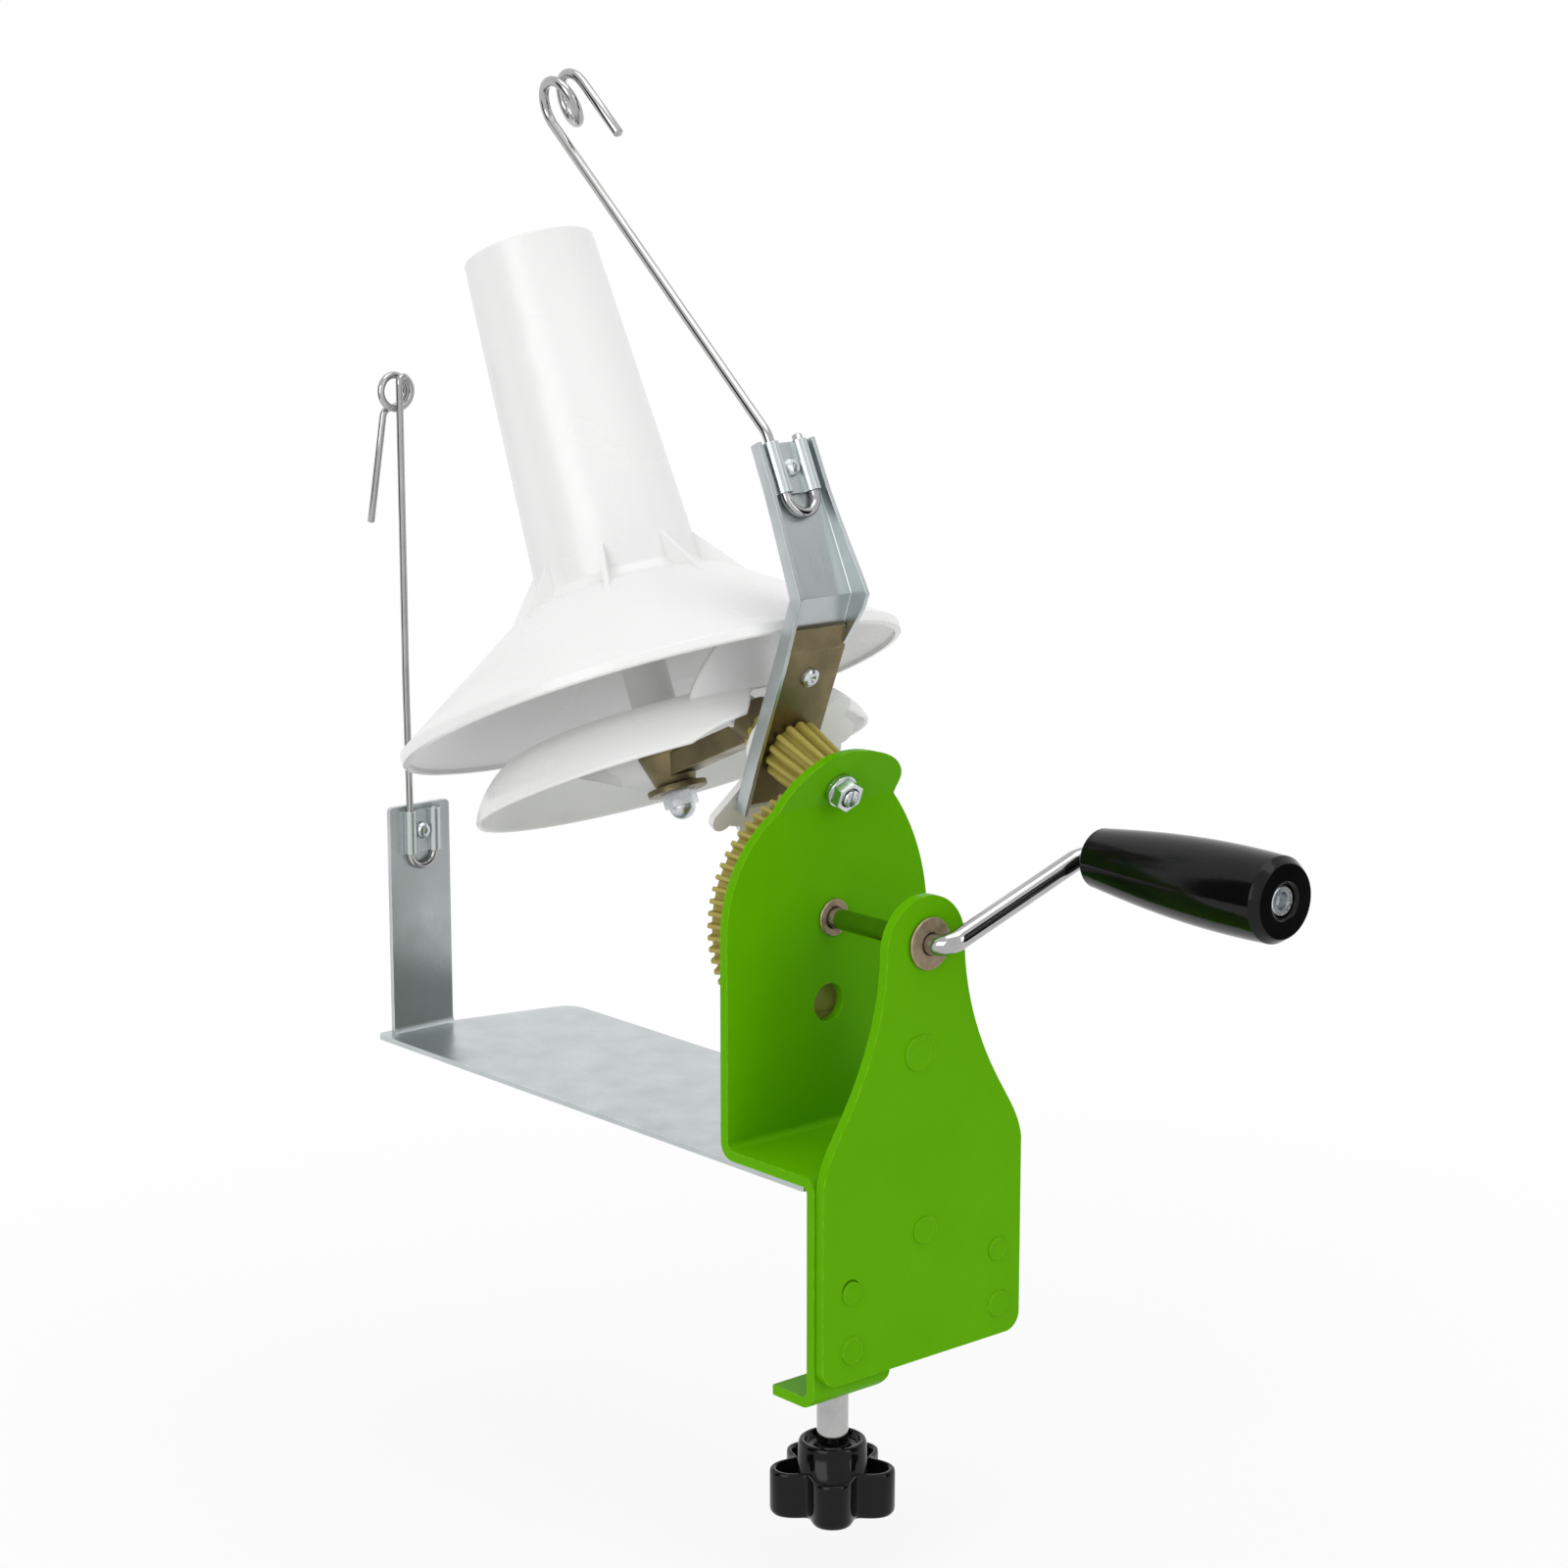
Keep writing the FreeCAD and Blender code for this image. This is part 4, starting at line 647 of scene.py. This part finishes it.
def dish_end(turn):
    """How far the profile reaches in this direction: the arch's edge is found by halving."""
    from_front = abs((turn + 180.0) % 360.0 - 180.0)

    def inside(at):
        rad, high, _ = dish_spot(at)
        away = (on_cone(rad, turn, high) - APEX).dot(BACK)
        return away > FLYER_ROOM and (rad < NOTCH_FROM_RAD or high > notch_low(from_front))

    full = len(DISH_LINE) - 1.0
    if all(inside(full * i / 60) for i in range(30, 61)):
        return full
    low, high = 0.0, full
    for i in range(31, 61):
        if not inside(full * i / 60):
            low, high = full * (i - 1) / 60, full * i / 60
            break
    for _ in range(14):
        middle = (low + high) / 2
        if inside(middle):
            low = middle
        else:
            high = middle
    return low


def dish_shell():
    """A ring of spokes, each with its top side, its lip and its underside."""
    spokes, steps, lip_reach = 240, 40, 0.8
    rings = []
    for k in range(spokes):
        turn = 360.0 * k / spokes
        reach = dish_end(turn)
        top, under = [], []
        for j in range(steps + 1):
            rad, high, run = dish_spot(reach * j / steps)
            top.append(on_cone(rad - run.y * DISH_HALF_WALL, turn, high + run.x * DISH_HALF_WALL))
            under.append(on_cone(rad + run.y * DISH_HALF_WALL, turn,
                                 high - run.x * DISH_HALF_WALL))
        lip = on_cone(rad + run.x * lip_reach, turn, high + run.y * lip_reach)
        rings.append(top + [lip] + under[::-1])
    return skin(rings, close_rings=True)


def dish_hood():
    """The raised hood over the pinion, inside the cone's skirt: a bell that leans outwards."""
    # (height, radius, half its width in degrees)
    line = smooth_run([(-16.4, 65.6, 27.6), (-14.4, 65.4, 26.6), (-11.0, 65.9, 24.6),
                       (-7.5, 66.6, 22.2), (-3.0, 67.5, 18.6), (1.0, 68.3, 14.9), (5.0, 69.1, 10.9),
                       (8.0, 69.7, 7.0), (9.6, 70.0, 3.0), (10.0, 70.1, 0.6)], 3)
    rings = []
    for high, rad, half in line:
        near, far = [], []
        for i in range(25):
            turn = -half + 2 * half * i / 24
            near.append(on_cone(rad + DISH_HALF_WALL, turn, high - 0.3))
            far.append(on_cone(rad - DISH_HALF_WALL, turn, high + 0.3))
        rings.append(near + far[::-1])
    return skin(rings)


def dish_rib():
    """A thin gusset under the dish, from the boss towards the back."""
    def put(u, v, w):
        return CONE_FOOT - CONE_FORE * u + CONE_UP * v + SIDE * (w - DISH_HALF_WALL)

    return slab([[(12.0, -14.0), (12.0, -37.5), (15.0, -37.5), (64.0, -17.5), (62.0, -14.0)]],
                2 * DISH_HALF_WALL, put)


new_piece("guard_dish_shell", [dish_shell(), dish_hood(), dish_rib()], "white_plastic", "frame",
          ["guard_dish"], 0.0)

# %% [markdown]
# ## Lobed disc
# Behind the arm turns a flat white disc, with round lobes on its rim. It is half a disc: the other
# half is cut back to a small ring, so that it clears the bar that carries the cone. One outline
# runs round the lobes and back along the small ring, and gets a thickness.

# %% Lobed disc
# Each lobe's middle: (degrees from the side that faces away from the arm, radius)
LOBES = [(-29.0, 37.4), (-5.0, 37.0), (18.5, 36.4), (41.5, 35.6), (64.5, 34.6), (88.0, 32.4),
         (112.0, 28.6)]
LOBE_RAD = 5.2
DISC_AT, DISC_THICK = 169.3, 2.8
DISC_BORE, DISC_SMALL_RAD = 9.3, 14.5


def lobed_disc():
    """Half a disc with round lobes on its rim, and a small ring on its other side."""
    outline = []
    for middle, rad in LOBES:
        at = (rad * math.cos(math.radians(middle)), rad * math.sin(math.radians(middle)))
        for i in range(13):
            swing = math.radians(middle - 78.0 + 13.0 * i)
            outline.append((at[0] + LOBE_RAD * math.cos(swing), at[1] + LOBE_RAD * math.sin(swing)))
    for i in range(25):
        swing = math.radians(120.0 + 203.0 * i / 24)
        outline.append((DISC_SMALL_RAD * math.cos(swing), DISC_SMALL_RAD * math.sin(swing)))

    def put(u, v, w):
        return on_flyer(-u, v, DISC_AT + w)

    return slab([outline, circle_loop(0.0, 0.0, DISC_BORE, 40)], DISC_THICK, put)


new_piece("flyer_disc_lobed", [lobed_disc()], "white_plastic", "flyer", ["flyer_disc"], 0.35)

# %% [markdown]
# ## Arm and bracket
# The flyer's arm is a zinc-plated channel, bent twice in its length. Its left wall stays low all
# along, and its right wall rises towards the upper bend and falls again. A stamped sheet like that
# is drawn best as a row of cross sections, because each one can have its own wall heights. At a
# bend, the section lies in the plane that halves the angle, so the sheet keeps its thickness. The
# dark bracket inside it is a flat plate with a short tab that follows the first bend.

# %% Arm
ARM_SHEET = 1.8
ARM_RIGHT = 14.0
ARM_PLANE = 166.0
ARM_BEND = Vector((-4.0, 0.0, 209.0))
ARM_TOP = Vector((-30.0, 0.0, 264.0))
ARM_UP = (ARM_TOP - ARM_BEND).normalized()
ARM_FRONT = Vector((ARM_UP.z, 0.0, -ARM_UP.x))
ARM_FOOT = on_flyer(-27.0, 0.0, ARM_PLANE)
ARM_FIRST = on_flyer(43.0, 0.0, ARM_PLANE)
# (stretch of the arm, share along it, left wall's height, right wall's height, left edge)
ARM_STATIONS = [
    (0, 0.0, 4.6, 0.3, -16.0), (0, 0.35, 4.8, 0.3, -17.2), (0, 0.93, 4.6, 0.6, -17.6),
    (0, 1.0, 4.4, 1.5, -17.6), (1, 0.12, 4.3, 2.8, -17.6), (1, 0.85, 4.2, 7.5, -17.4),
    (1, 1.0, 4.2, 7.9, -17.2), (2, 0.04, 4.2, 7.6, -17.0), (2, 0.25, 4.1, 6.2, -16.0),
    (2, 0.5, 3.9, 4.6, -15.0), (2, 0.66, 3.7, 3.9, -14.4), (2, 1.0, 3.6, 3.7, -14.0)]


def arm_section(at, front, left, right, edge):
    """The channel's cross section: round its outside from the left wall, then back inside."""
    w, t = ARM_RIGHT, ARM_SHEET
    corner = 0.25 if right > 0.5 else 0.0
    section = [(edge, left), (edge, -t + 1.0), (edge + 0.3, -t + 0.3), (edge + 1.0, -t),
               (w - 1.0, -t), (w - 0.3, -t + 0.3), (w, -t + 1.0), (w, right), (w - t, right),
               (w - t, corner), (w - t - 0.25, 0.0), (edge + t + 0.25, 0.0), (edge + t, 0.25),
               (edge + t, left)]
    return [at + SIDE * side + front * depth for side, depth in section]


def arm_channel():
    """A bent sheet channel, whose two side walls rise and fall along it."""
    corners = [ARM_FOOT, ARM_FIRST, ARM_BEND, ARM_TOP]
    runs = [(b - a).normalized() for a, b in zip(corners, corners[1:])]
    fronts = [Vector((run.z, 0.0, -run.x)) for run in runs]
    rings = []
    for stretch, share, left, right, edge in ARM_STATIONS:
        a, b = corners[stretch], corners[stretch + 1]
        front = fronts[stretch].copy()
        if share == 1.0 and stretch < 2:
            front = (fronts[stretch] + fronts[stretch + 1]).normalized()
            front = front / front.dot(fronts[stretch])
        rings.append(arm_section(a + (b - a) * share, front, left, right, edge))
    return skin(rings)


new_piece("flyer_arm_channel", [arm_channel()], "zinc_plate", "flyer", ["flyer_arm"], 0.35, 24.0)

# %% Bracket
BRACKET_SHEET, BRACKET_BORE = 2.0, 9.4


def bracket_plate():
    """The flat part, with the hole for the pinion's hub."""
    outline = [(24.0, -15.0), (24.0, 14.0), (-43.0, 14.0), (-43.0, -15.5)]

    def put(u, v, w):
        return on_flyer(-u, v, ARM_PLANE - w)

    return slab([outline, circle_loop(0.0, 0.0, BRACKET_BORE, 40)], BRACKET_SHEET, put)


def bracket_tab():
    """The short tab, folded up along the arm's next stretch."""
    run = (ARM_BEND - ARM_FIRST).normalized()
    front = Vector((run.z, 0.0, -run.x))
    rings = []
    for along, left, right in ((-0.6, -15.5, 14.0), (9.0, -15.3, 11.8)):
        at = ARM_FIRST + run * along
        lift = front * BRACKET_SHEET
        rings.append([at + SIDE * left, at + SIDE * right, at + SIDE * right + lift,
                      at + SIDE * left + lift])
    return skin(rings)


new_piece("flyer_bracket_plate", [bracket_plate(), bracket_tab()], "dark_steel", "flyer",
          ["flyer_bracket"], 0.3)

# %% [markdown]
# ## Wires
# The flyer's wire and the guide's wire are bent from bright round steel. A bending machine makes
# straight runs and round bends of a known radius, so a wire is written the same way: as corners,
# each with its bend radius. Coils and rings are added as points on a circle that moves along its
# axis. The round section is then carried along the points without twisting. A curve with a bevel
# would look the same, but a mesh made here has chamfered ends and an even thickness in every bend.

# %% Wire maker
def bent_run(corners, step=10.0):
    """Points along straight runs joined by round bends: corners are (place, bend radius)."""
    points = [Vector(corners[0][0])]
    for i in range(1, len(corners) - 1):
        here, bend = Vector(corners[i][0]), corners[i][1]
        before = (Vector(corners[i - 1][0]) - here).normalized()
        after = (Vector(corners[i + 1][0]) - here).normalized()
        half = before.angle(after) / 2
        middle = (before + after).normalized()
        centre = here + middle * (bend / math.sin(half))
        start = here + before * (bend / math.tan(half)) - centre
        end = here + after * (bend / math.tan(half)) - centre
        turn = start.angle(end)
        count = max(2, int(math.degrees(turn) / step) + 1)
        for k in range(count + 1):
            share = k / count
            arc = start * math.sin(turn * (1 - share)) + end * math.sin(turn * share)
            points.append(centre + arc / math.sin(turn))
    points.append(Vector(corners[-1][0]))
    return points


def tube(points, rad, sides=16, chamfer=0.5):
    """A round wire along the points, with its ends a little chamfered."""
    clean = [points[0]]
    for point in points[1:]:
        if (point - clean[-1]).length > 0.05:
            clean.append(point)
    first = (clean[1] - clean[0]).normalized()
    last = (clean[-1] - clean[-2]).normalized()
    rads = [rad - chamfer] + [rad] * len(clean) + [rad - chamfer]
    clean = ([clean[0], clean[0] + first * chamfer] + clean[1:-1]
             + [clean[-1] - last * chamfer, clean[-1]])
    across = first.orthogonal().normalized()
    rings = []
    for i, (point, wide) in enumerate(zip(clean, rads)):
        ahead = (clean[min(i + 1, len(clean) - 1)] - clean[max(i - 1, 0)]).normalized()
        across = (across - ahead * across.dot(ahead)).normalized()
        other = ahead.cross(across)
        rings.append([point + across * u + other * v
                      for u, v in circle_loop(0.0, 0.0, wide, sides)])
    return skin(rings)


# %% Flyer wire
FLYER_WIRE_RAD = 2.0
LEG = ARM_TOP - ARM_UP * 10.5 + ARM_FRONT * 2.0
LEG_APART, LEG_LOW, LEG_BEND = SIDE * 7.0, ARM_UP * 18.0, 6.9
COIL_START = Vector((-164.3, -2.0, 378.4))
COIL_AXIS = Vector((0.2065, 0.9104, 0.3586)).normalized()
COIL_RAD = 9.4
COIL_STEP = 8.0
COIL_TURNS = 1.5


def flyer_wire_path():
    """Right leg, turn under the clip, left leg, the long straight, the coil, and the tail."""
    left_top = LEG - LEG_APART + ARM_UP * 14.0
    run = (COIL_START - left_top).normalized()
    along = (run - COIL_AXIS * run.dot(COIL_AXIS)).normalized()
    across = along.cross(COIL_AXIS)
    centre = COIL_START - across * COIL_RAD
    points = bent_run([(LEG + LEG_APART + ARM_UP * 12.5, 0.0),
                       (LEG + LEG_APART - LEG_LOW, LEG_BEND), (LEG - LEG_APART - LEG_LOW, LEG_BEND),
                       (left_top, 12.0), (COIL_START - run * 0.5, 0.0)])
    for i in range(109):
        swing = math.radians(360.0 * COIL_TURNS * i / 108)
        points.append(centre + across * (COIL_RAD * math.cos(swing))
                      + along * (COIL_RAD * math.sin(swing))
                      + COIL_AXIS * (COIL_STEP * COIL_TURNS * i / 108))
    points += [points[-1] - (along * 0.9 + run * 0.1).normalized() * 3.0]
    points.append(points[-1] - run * 30.0)
    return points


new_piece("flyer_wire_bent", [tube(flyer_wire_path(), FLYER_WIRE_RAD)], "polished_steel", "flyer",
          ["flyer_wire"], 0.0)

# %% Guide wire
GUIDE_WIRE_RAD = 1.5
SHANK_X, RING_Y, RING_Z, RING_RAD = -220.5, -38.6, 270.6, 6.7


def guide_wire_path():
    """From its clip up a long shank, into a small ring of almost one and a half turns, a tail."""
    points = bent_run([((SHANK_X, -26.0, 97.5), 0.0), ((SHANK_X, -26.0, 73.0), 5.9),
                       ((SHANK_X, -38.0, 73.0), 5.9), ((SHANK_X, -38.0, 104.0), 60.0),
                       ((SHANK_X, RING_Y, 150.0), 60.0), ((SHANK_X, RING_Y, 273.4), 0.0)])
    bend = 2.3
    for i in range(13):
        swing = math.radians(120.0 * i / 12)
        points.append(Vector((SHANK_X - 0.8 * i / 12, RING_Y + bend * (1 - math.cos(swing)),
                              274.4 + bend * math.sin(swing))))
    for i in range(1, 103):
        swing = math.radians(60.0 - 510.0 * i / 102)
        points.append(Vector((SHANK_X - 0.8 - 5.6 * i / 102, RING_Y + RING_RAD * math.cos(swing),
                              RING_Z + RING_RAD * math.sin(swing))))
    low = points[-1]
    for i in range(1, 9):
        swing = math.radians(77.0 * i / 8)
        points.append(low + Vector((0.0, -4.0 * math.sin(swing), -4.0 * (1 - math.cos(swing)))))
    points.append(Vector((low.x, -49.6, 217.9)))
    return points


new_piece("guide_wire_bent", [tube(guide_wire_path(), GUIDE_WIRE_RAD)], "polished_steel", "frame",
          ["guide_wire"], 0.0)

# %% [markdown]
# ## Bevel gear pair
# Gear and pinion are moulded in tan nylon. The teeth of both lie on cones that share one apex, so
# every tooth gets smaller towards it: an outline at any distance from the apex is the same outline
# at another size. Moulded teeth are blunt and round off at both ends, so each tooth is a few points
# from its root to its tip, and the sections near the ends are cut a little lower.

# %% Tooth maker
GEAR_TEETH, PINION_TEETH = 63, 14
GEAR_FAR, GEAR_NEAR = APEX.x + 18.0, APEX.x + 6.0
PINION_NEAR, PINION_FAR = 139.0, 163.6


def blunt_teeth(teeth, root, flank, first):
    """A toothed outline; flank is (height over the root, half width in degrees), to the tip."""
    points = []
    for tooth in range(teeth):
        middle = first + 360.0 * tooth / teeth
        for high, half in flank:
            points.append((root + high, math.radians(middle - half), high))
        for high, half in reversed(flank):
            points.append((root + high, math.radians(middle + half), high))
    return points


def toothed_ring(outline, distance, far, cut, put, limit=99.0):
    """The outline at a distance from the apex, with its teeth cut lower at the rounded ends."""
    size = distance / far
    ring = []
    for rad, angle, high in outline:
        here = min(limit, (rad - high * cut) * size)
        ring.append(put(here * math.cos(angle), here * math.sin(angle), distance))
    return ring


def plain_ring(outline, rad, distance, put):
    """A round ring with as many points as the toothed outline."""
    return [put(rad * math.cos(angle), rad * math.sin(angle), distance)
            for _, angle, _ in outline]


# %% Drive gear
GEAR_BORE, RIM_INNER, WEB_RAD, WEB_THICK = 4.05, 38.0, 38.5, 8.0
WEB_HOLES, WEB_HOLE_RAD, WEB_HOLE_AT = 6, 6.5, 26.5


def on_shaft(u, v, w):
    """A point by its height and side over the shaft, and its distance behind the apex."""
    return Vector((APEX.x - w, v, APEX.z + u))


def gear_parts():
    """The toothed rim, the web with its six holes, and the stepped hub."""
    outline = blunt_teeth(GEAR_TEETH, 44.7, [(0.0, 1.5), (0.4, 1.34), (2.75, 1.14), (3.3, 1.0),
                                             (3.6, 0.74), (3.72, 0.34)], 360.0 / GEAR_TEETH / 2)
    steps = ((GEAR_NEAR, 0.9), (GEAR_NEAR + 0.5, 0.25), (GEAR_NEAR + 1.3, 0.0),
             (GEAR_FAR - 1.3, 0.0), (GEAR_FAR - 0.5, 0.25), (GEAR_FAR, 0.9))
    rim = [plain_ring(outline, RIM_INNER, GEAR_NEAR, on_shaft)]
    rim += [toothed_ring(outline, at, GEAR_FAR, cut, on_shaft) for at, cut in steps]
    rim.append(plain_ring(outline, RIM_INNER, GEAR_FAR, on_shaft))
    turns = [math.radians(360 // WEB_HOLES * i + 30) for i in range(WEB_HOLES)]
    holes = [circle_loop(WEB_HOLE_AT * math.cos(turn), WEB_HOLE_AT * math.sin(turn), WEB_HOLE_RAD)
             for turn in turns]
    web = slab([circle_loop(0.0, 0.0, WEB_RAD, 96)] + holes + [circle_loop(0.0, 0.0, GEAR_BORE)],
               WEB_THICK, lambda u, v, w: on_shaft(u, v, GEAR_NEAR + w))
    hub = [[on_shaft(u, v, at) for u, v in circle_loop(0.0, 0.0, rad, 48)]
           for rad, at in ((GEAR_BORE, GEAR_FAR - 4.2), (14.0, GEAR_FAR - 4.2), (13.6, GEAR_FAR),
                           (11.0, GEAR_FAR), (10.8, GEAR_FAR + 6.6), (10.3, GEAR_FAR + 7.0),
                           (GEAR_BORE, GEAR_FAR + 7.0))]
    return [skin(rim, close_rings=True), web, skin(hub, close_rings=True)]


new_piece("drive_gear_blunt", gear_parts(), "tan_nylon", "crank", ["drive_gear"], 0.12, 40.0)

# %% Flyer pinion
PINION_BORE, PINION_HUB_RAD, HUB_END, COLLAR_LIMIT = 4.1, 8.95, 172.3, 11.9


def pinion_parts():
    """The long teeth, the hub that carries the arm, and a toothed collar behind it."""
    def put(u, v, w):
        return on_flyer(-u, v, w)

    outline = blunt_teeth(PINION_TEETH, 9.44, [(0.0, 7.8), (0.4, 7.0), (2.0, 6.0), (2.85, 5.2),
                                               (3.35, 3.8), (3.62, 1.7)], 0.0)
    steps = ((PINION_NEAR, 0.85), (PINION_NEAR + 0.5, 0.3), (PINION_NEAR + 1.4, 0.0),
             (PINION_FAR - 2.2, 0.0), (PINION_FAR - 0.8, 0.25), (PINION_FAR, 0.95))
    collar = ((172.4, 0.8), (173.0, 0.1), (176.2, 0.1), (176.8, 0.8))
    rings = [plain_ring(outline, PINION_BORE, PINION_NEAR, put)]
    rings += [toothed_ring(outline, at, PINION_FAR, cut, put) for at, cut in steps]
    rings += [plain_ring(outline, PINION_HUB_RAD, at, put) for at in (PINION_FAR + 0.1, HUB_END)]
    rings += [toothed_ring(outline, at, PINION_FAR, cut, put, COLLAR_LIMIT) for at, cut in collar]
    rings.append(plain_ring(outline, PINION_BORE, collar[-1][0], put))
    return [skin(rings, close_rings=True)]


new_piece("flyer_pinion_blunt", pinion_parts(), "tan_nylon", "flyer", ["flyer_pinion"], 0.12, 40.0)

# %% [markdown]
# ## Stud end and plate marks
# The flyer's axle ends in a slotted, threaded stud that stands out of the nut on the ear. The front
# plate carries six round marks from the tools that pressed and spot-welded it. They are low, but
# light catches their rims, so they are real shapes and not only a pattern in the paint.

# %% Stud end
STUD_RAD, STUD_END, NUT_FACE = 3.75, 125.6, 129.2
THREAD_DEEP, THREAD_STEP, SLOT_HALF = 0.35, 0.3, 0.55


def stud_end():
    """A threaded stud of small ridges, then two half rounds with the slot between them."""
    rings = []
    for i in range(9):
        rad = STUD_RAD - (0.0 if i % 2 else THREAD_DEEP)
        rings.append([on_flyer(u, v, NUT_FACE + 0.2 - THREAD_STEP * i)
                      for u, v in circle_loop(0.0, 0.0, rad, 40)])
    parts = [skin(rings)]
    rad = STUD_RAD - THREAD_DEEP
    half = [(rad * math.cos(math.pi * k / 16), rad * math.sin(math.pi * k / 16)) for k in range(17)]
    for side in (1, -1):
        loop = [(u, side * (v * 0.84 + SLOT_HALF)) for u, v in half]
        parts.append(slab([loop[::side]], 1.5, lambda u, v, w: on_flyer(u, v, STUD_END + w)))
    return parts


new_piece("axle_stud_end", stud_end(), "zinc_fastener", "frame", [], 0.0)

# %% Plate marks
FRONT_FACE_X = 52.5
# (side, height, radius) of each mark
MARKS = [(-4.8, 45.9, 6.6), (-1.5, -23.3, 5.1), (-37.6, -39.4, 4.5), (37.2, -39.4, 4.5),
         (-37.2, -62.0, 5.1), (38.2, -61.6, 5.1)]


def plate_mark(side, high, rad):
    """A low round button with a groove inside its rim, on the front plate's outer face."""
    # (how far inside the rim, how far proud of the plate)
    profile = ((0.0, -0.3), (0.0, 0.45), (0.25, 0.75), (0.8, 0.8), (1.15, 0.5), (1.6, 0.4),
               (rad - 0.6, 0.55))
    return skin([[Vector((FRONT_FACE_X + proud, u, v))
                  for u, v in circle_loop(side, high, rad - less, 40)] for less, proud in profile])


# The green paint's lighter edge tone also paints a highlight on the rims of these marks.
new_piece("front_plate_marks", [plate_mark(*mark) for mark in MARKS], "green_paint", "frame", [],
          0.0)

# %% [markdown]
# ## Star knob
# The clamp's knob is a black moulding with five broad lobes. Seen from above it is a tray with a
# thin rim, and a collar stands in its middle. Its outline is a circle whose radius swings five
# times a turn, so the whole knob is one skin: the same swinging loop at many heights, a little
# smaller where an edge is rounded, and plain circles for the collar and the hollow below.

# %% Star knob
KNOB_AT = Vector((35.0, -31.0, 0.0))
KNOB_POINTS = 160
# At rest, one lobe points towards the camera, as in the photograph.
VIEWER_TURN = math.atan2(CAMERA_AT[1] + 0.031, CAMERA_AT[0] - 0.035)


def knob_rad(angle, shrink):
    """The star's radius in this direction: five broad lobes with hollows between them."""
    wave = math.cos(5 * (angle - VIEWER_TURN))
    rad = 20.9 + 4.0 * wave - 0.55 * math.cos(10 * (angle - VIEWER_TURN))
    return rad - shrink


def knob_ring(high, shrink=0.0, least=0.0):
    """The star's outline at a height, drawn in by shrink, but not below the least radius."""
    points = []
    for i in range(KNOB_POINTS):
        angle = 2 * math.pi * i / KNOB_POINTS
        rad = max(least, knob_rad(angle, shrink))
        points.append(KNOB_AT + Vector((rad * math.cos(angle), rad * math.sin(angle), high)))
    return points


def knob_circle(high, rad):
    """A plain circle round the knob's axis."""
    return [KNOB_AT + Vector((u, v, high)) for u, v in circle_loop(0.0, 0.0, rad, KNOB_POINTS)]


def star_parts():
    """From the hollow below, over the outside and the tray, up the collar to the screw's bore."""
    low, rim, top = -130.5, -112.6, -103.0
    return skin([
        knob_circle(low + 6.0, 9.0), knob_circle(low + 0.6, 9.6), knob_ring(low, 6.5),
        knob_ring(low, 2.2), knob_ring(low + 0.4, 0.9), knob_ring(low + 1.3, 0.2),
        knob_ring(low + 2.6), knob_ring(rim - 1.6), knob_ring(rim - 0.5, 0.25),
        knob_ring(rim, 0.9), knob_ring(rim, 1.9), knob_ring(rim - 0.5, 2.5),
        knob_ring(rim - 1.4, 2.8, 13.6), knob_ring(rim - 6.6, 3.0, 13.4),
        knob_ring(rim - 7.6, 4.0, 13.3), knob_circle(rim - 7.9, 13.2),
        knob_circle(top - 1.6, 12.9), knob_circle(top - 0.4, 12.5), knob_circle(top, 11.9),
        knob_circle(top, 10.9), knob_circle(top - 0.6, 10.4), knob_circle(top - 2.4, 10.2),
        knob_circle(top - 2.6, 9.6), knob_circle(top - 2.6, 7.4), knob_circle(top - 3.2, 6.6),
        knob_circle(top - 18.0, 6.4)])


new_piece("star_knob_moulded", [star_parts()], "black_plastic", "clamp_knob", ["star_knob"], 0.0)

# %% [markdown]
# ## Close
# Standard colour keeps each finish as it is written.

# %% Close
scene.view_settings.view_transform = "Standard"
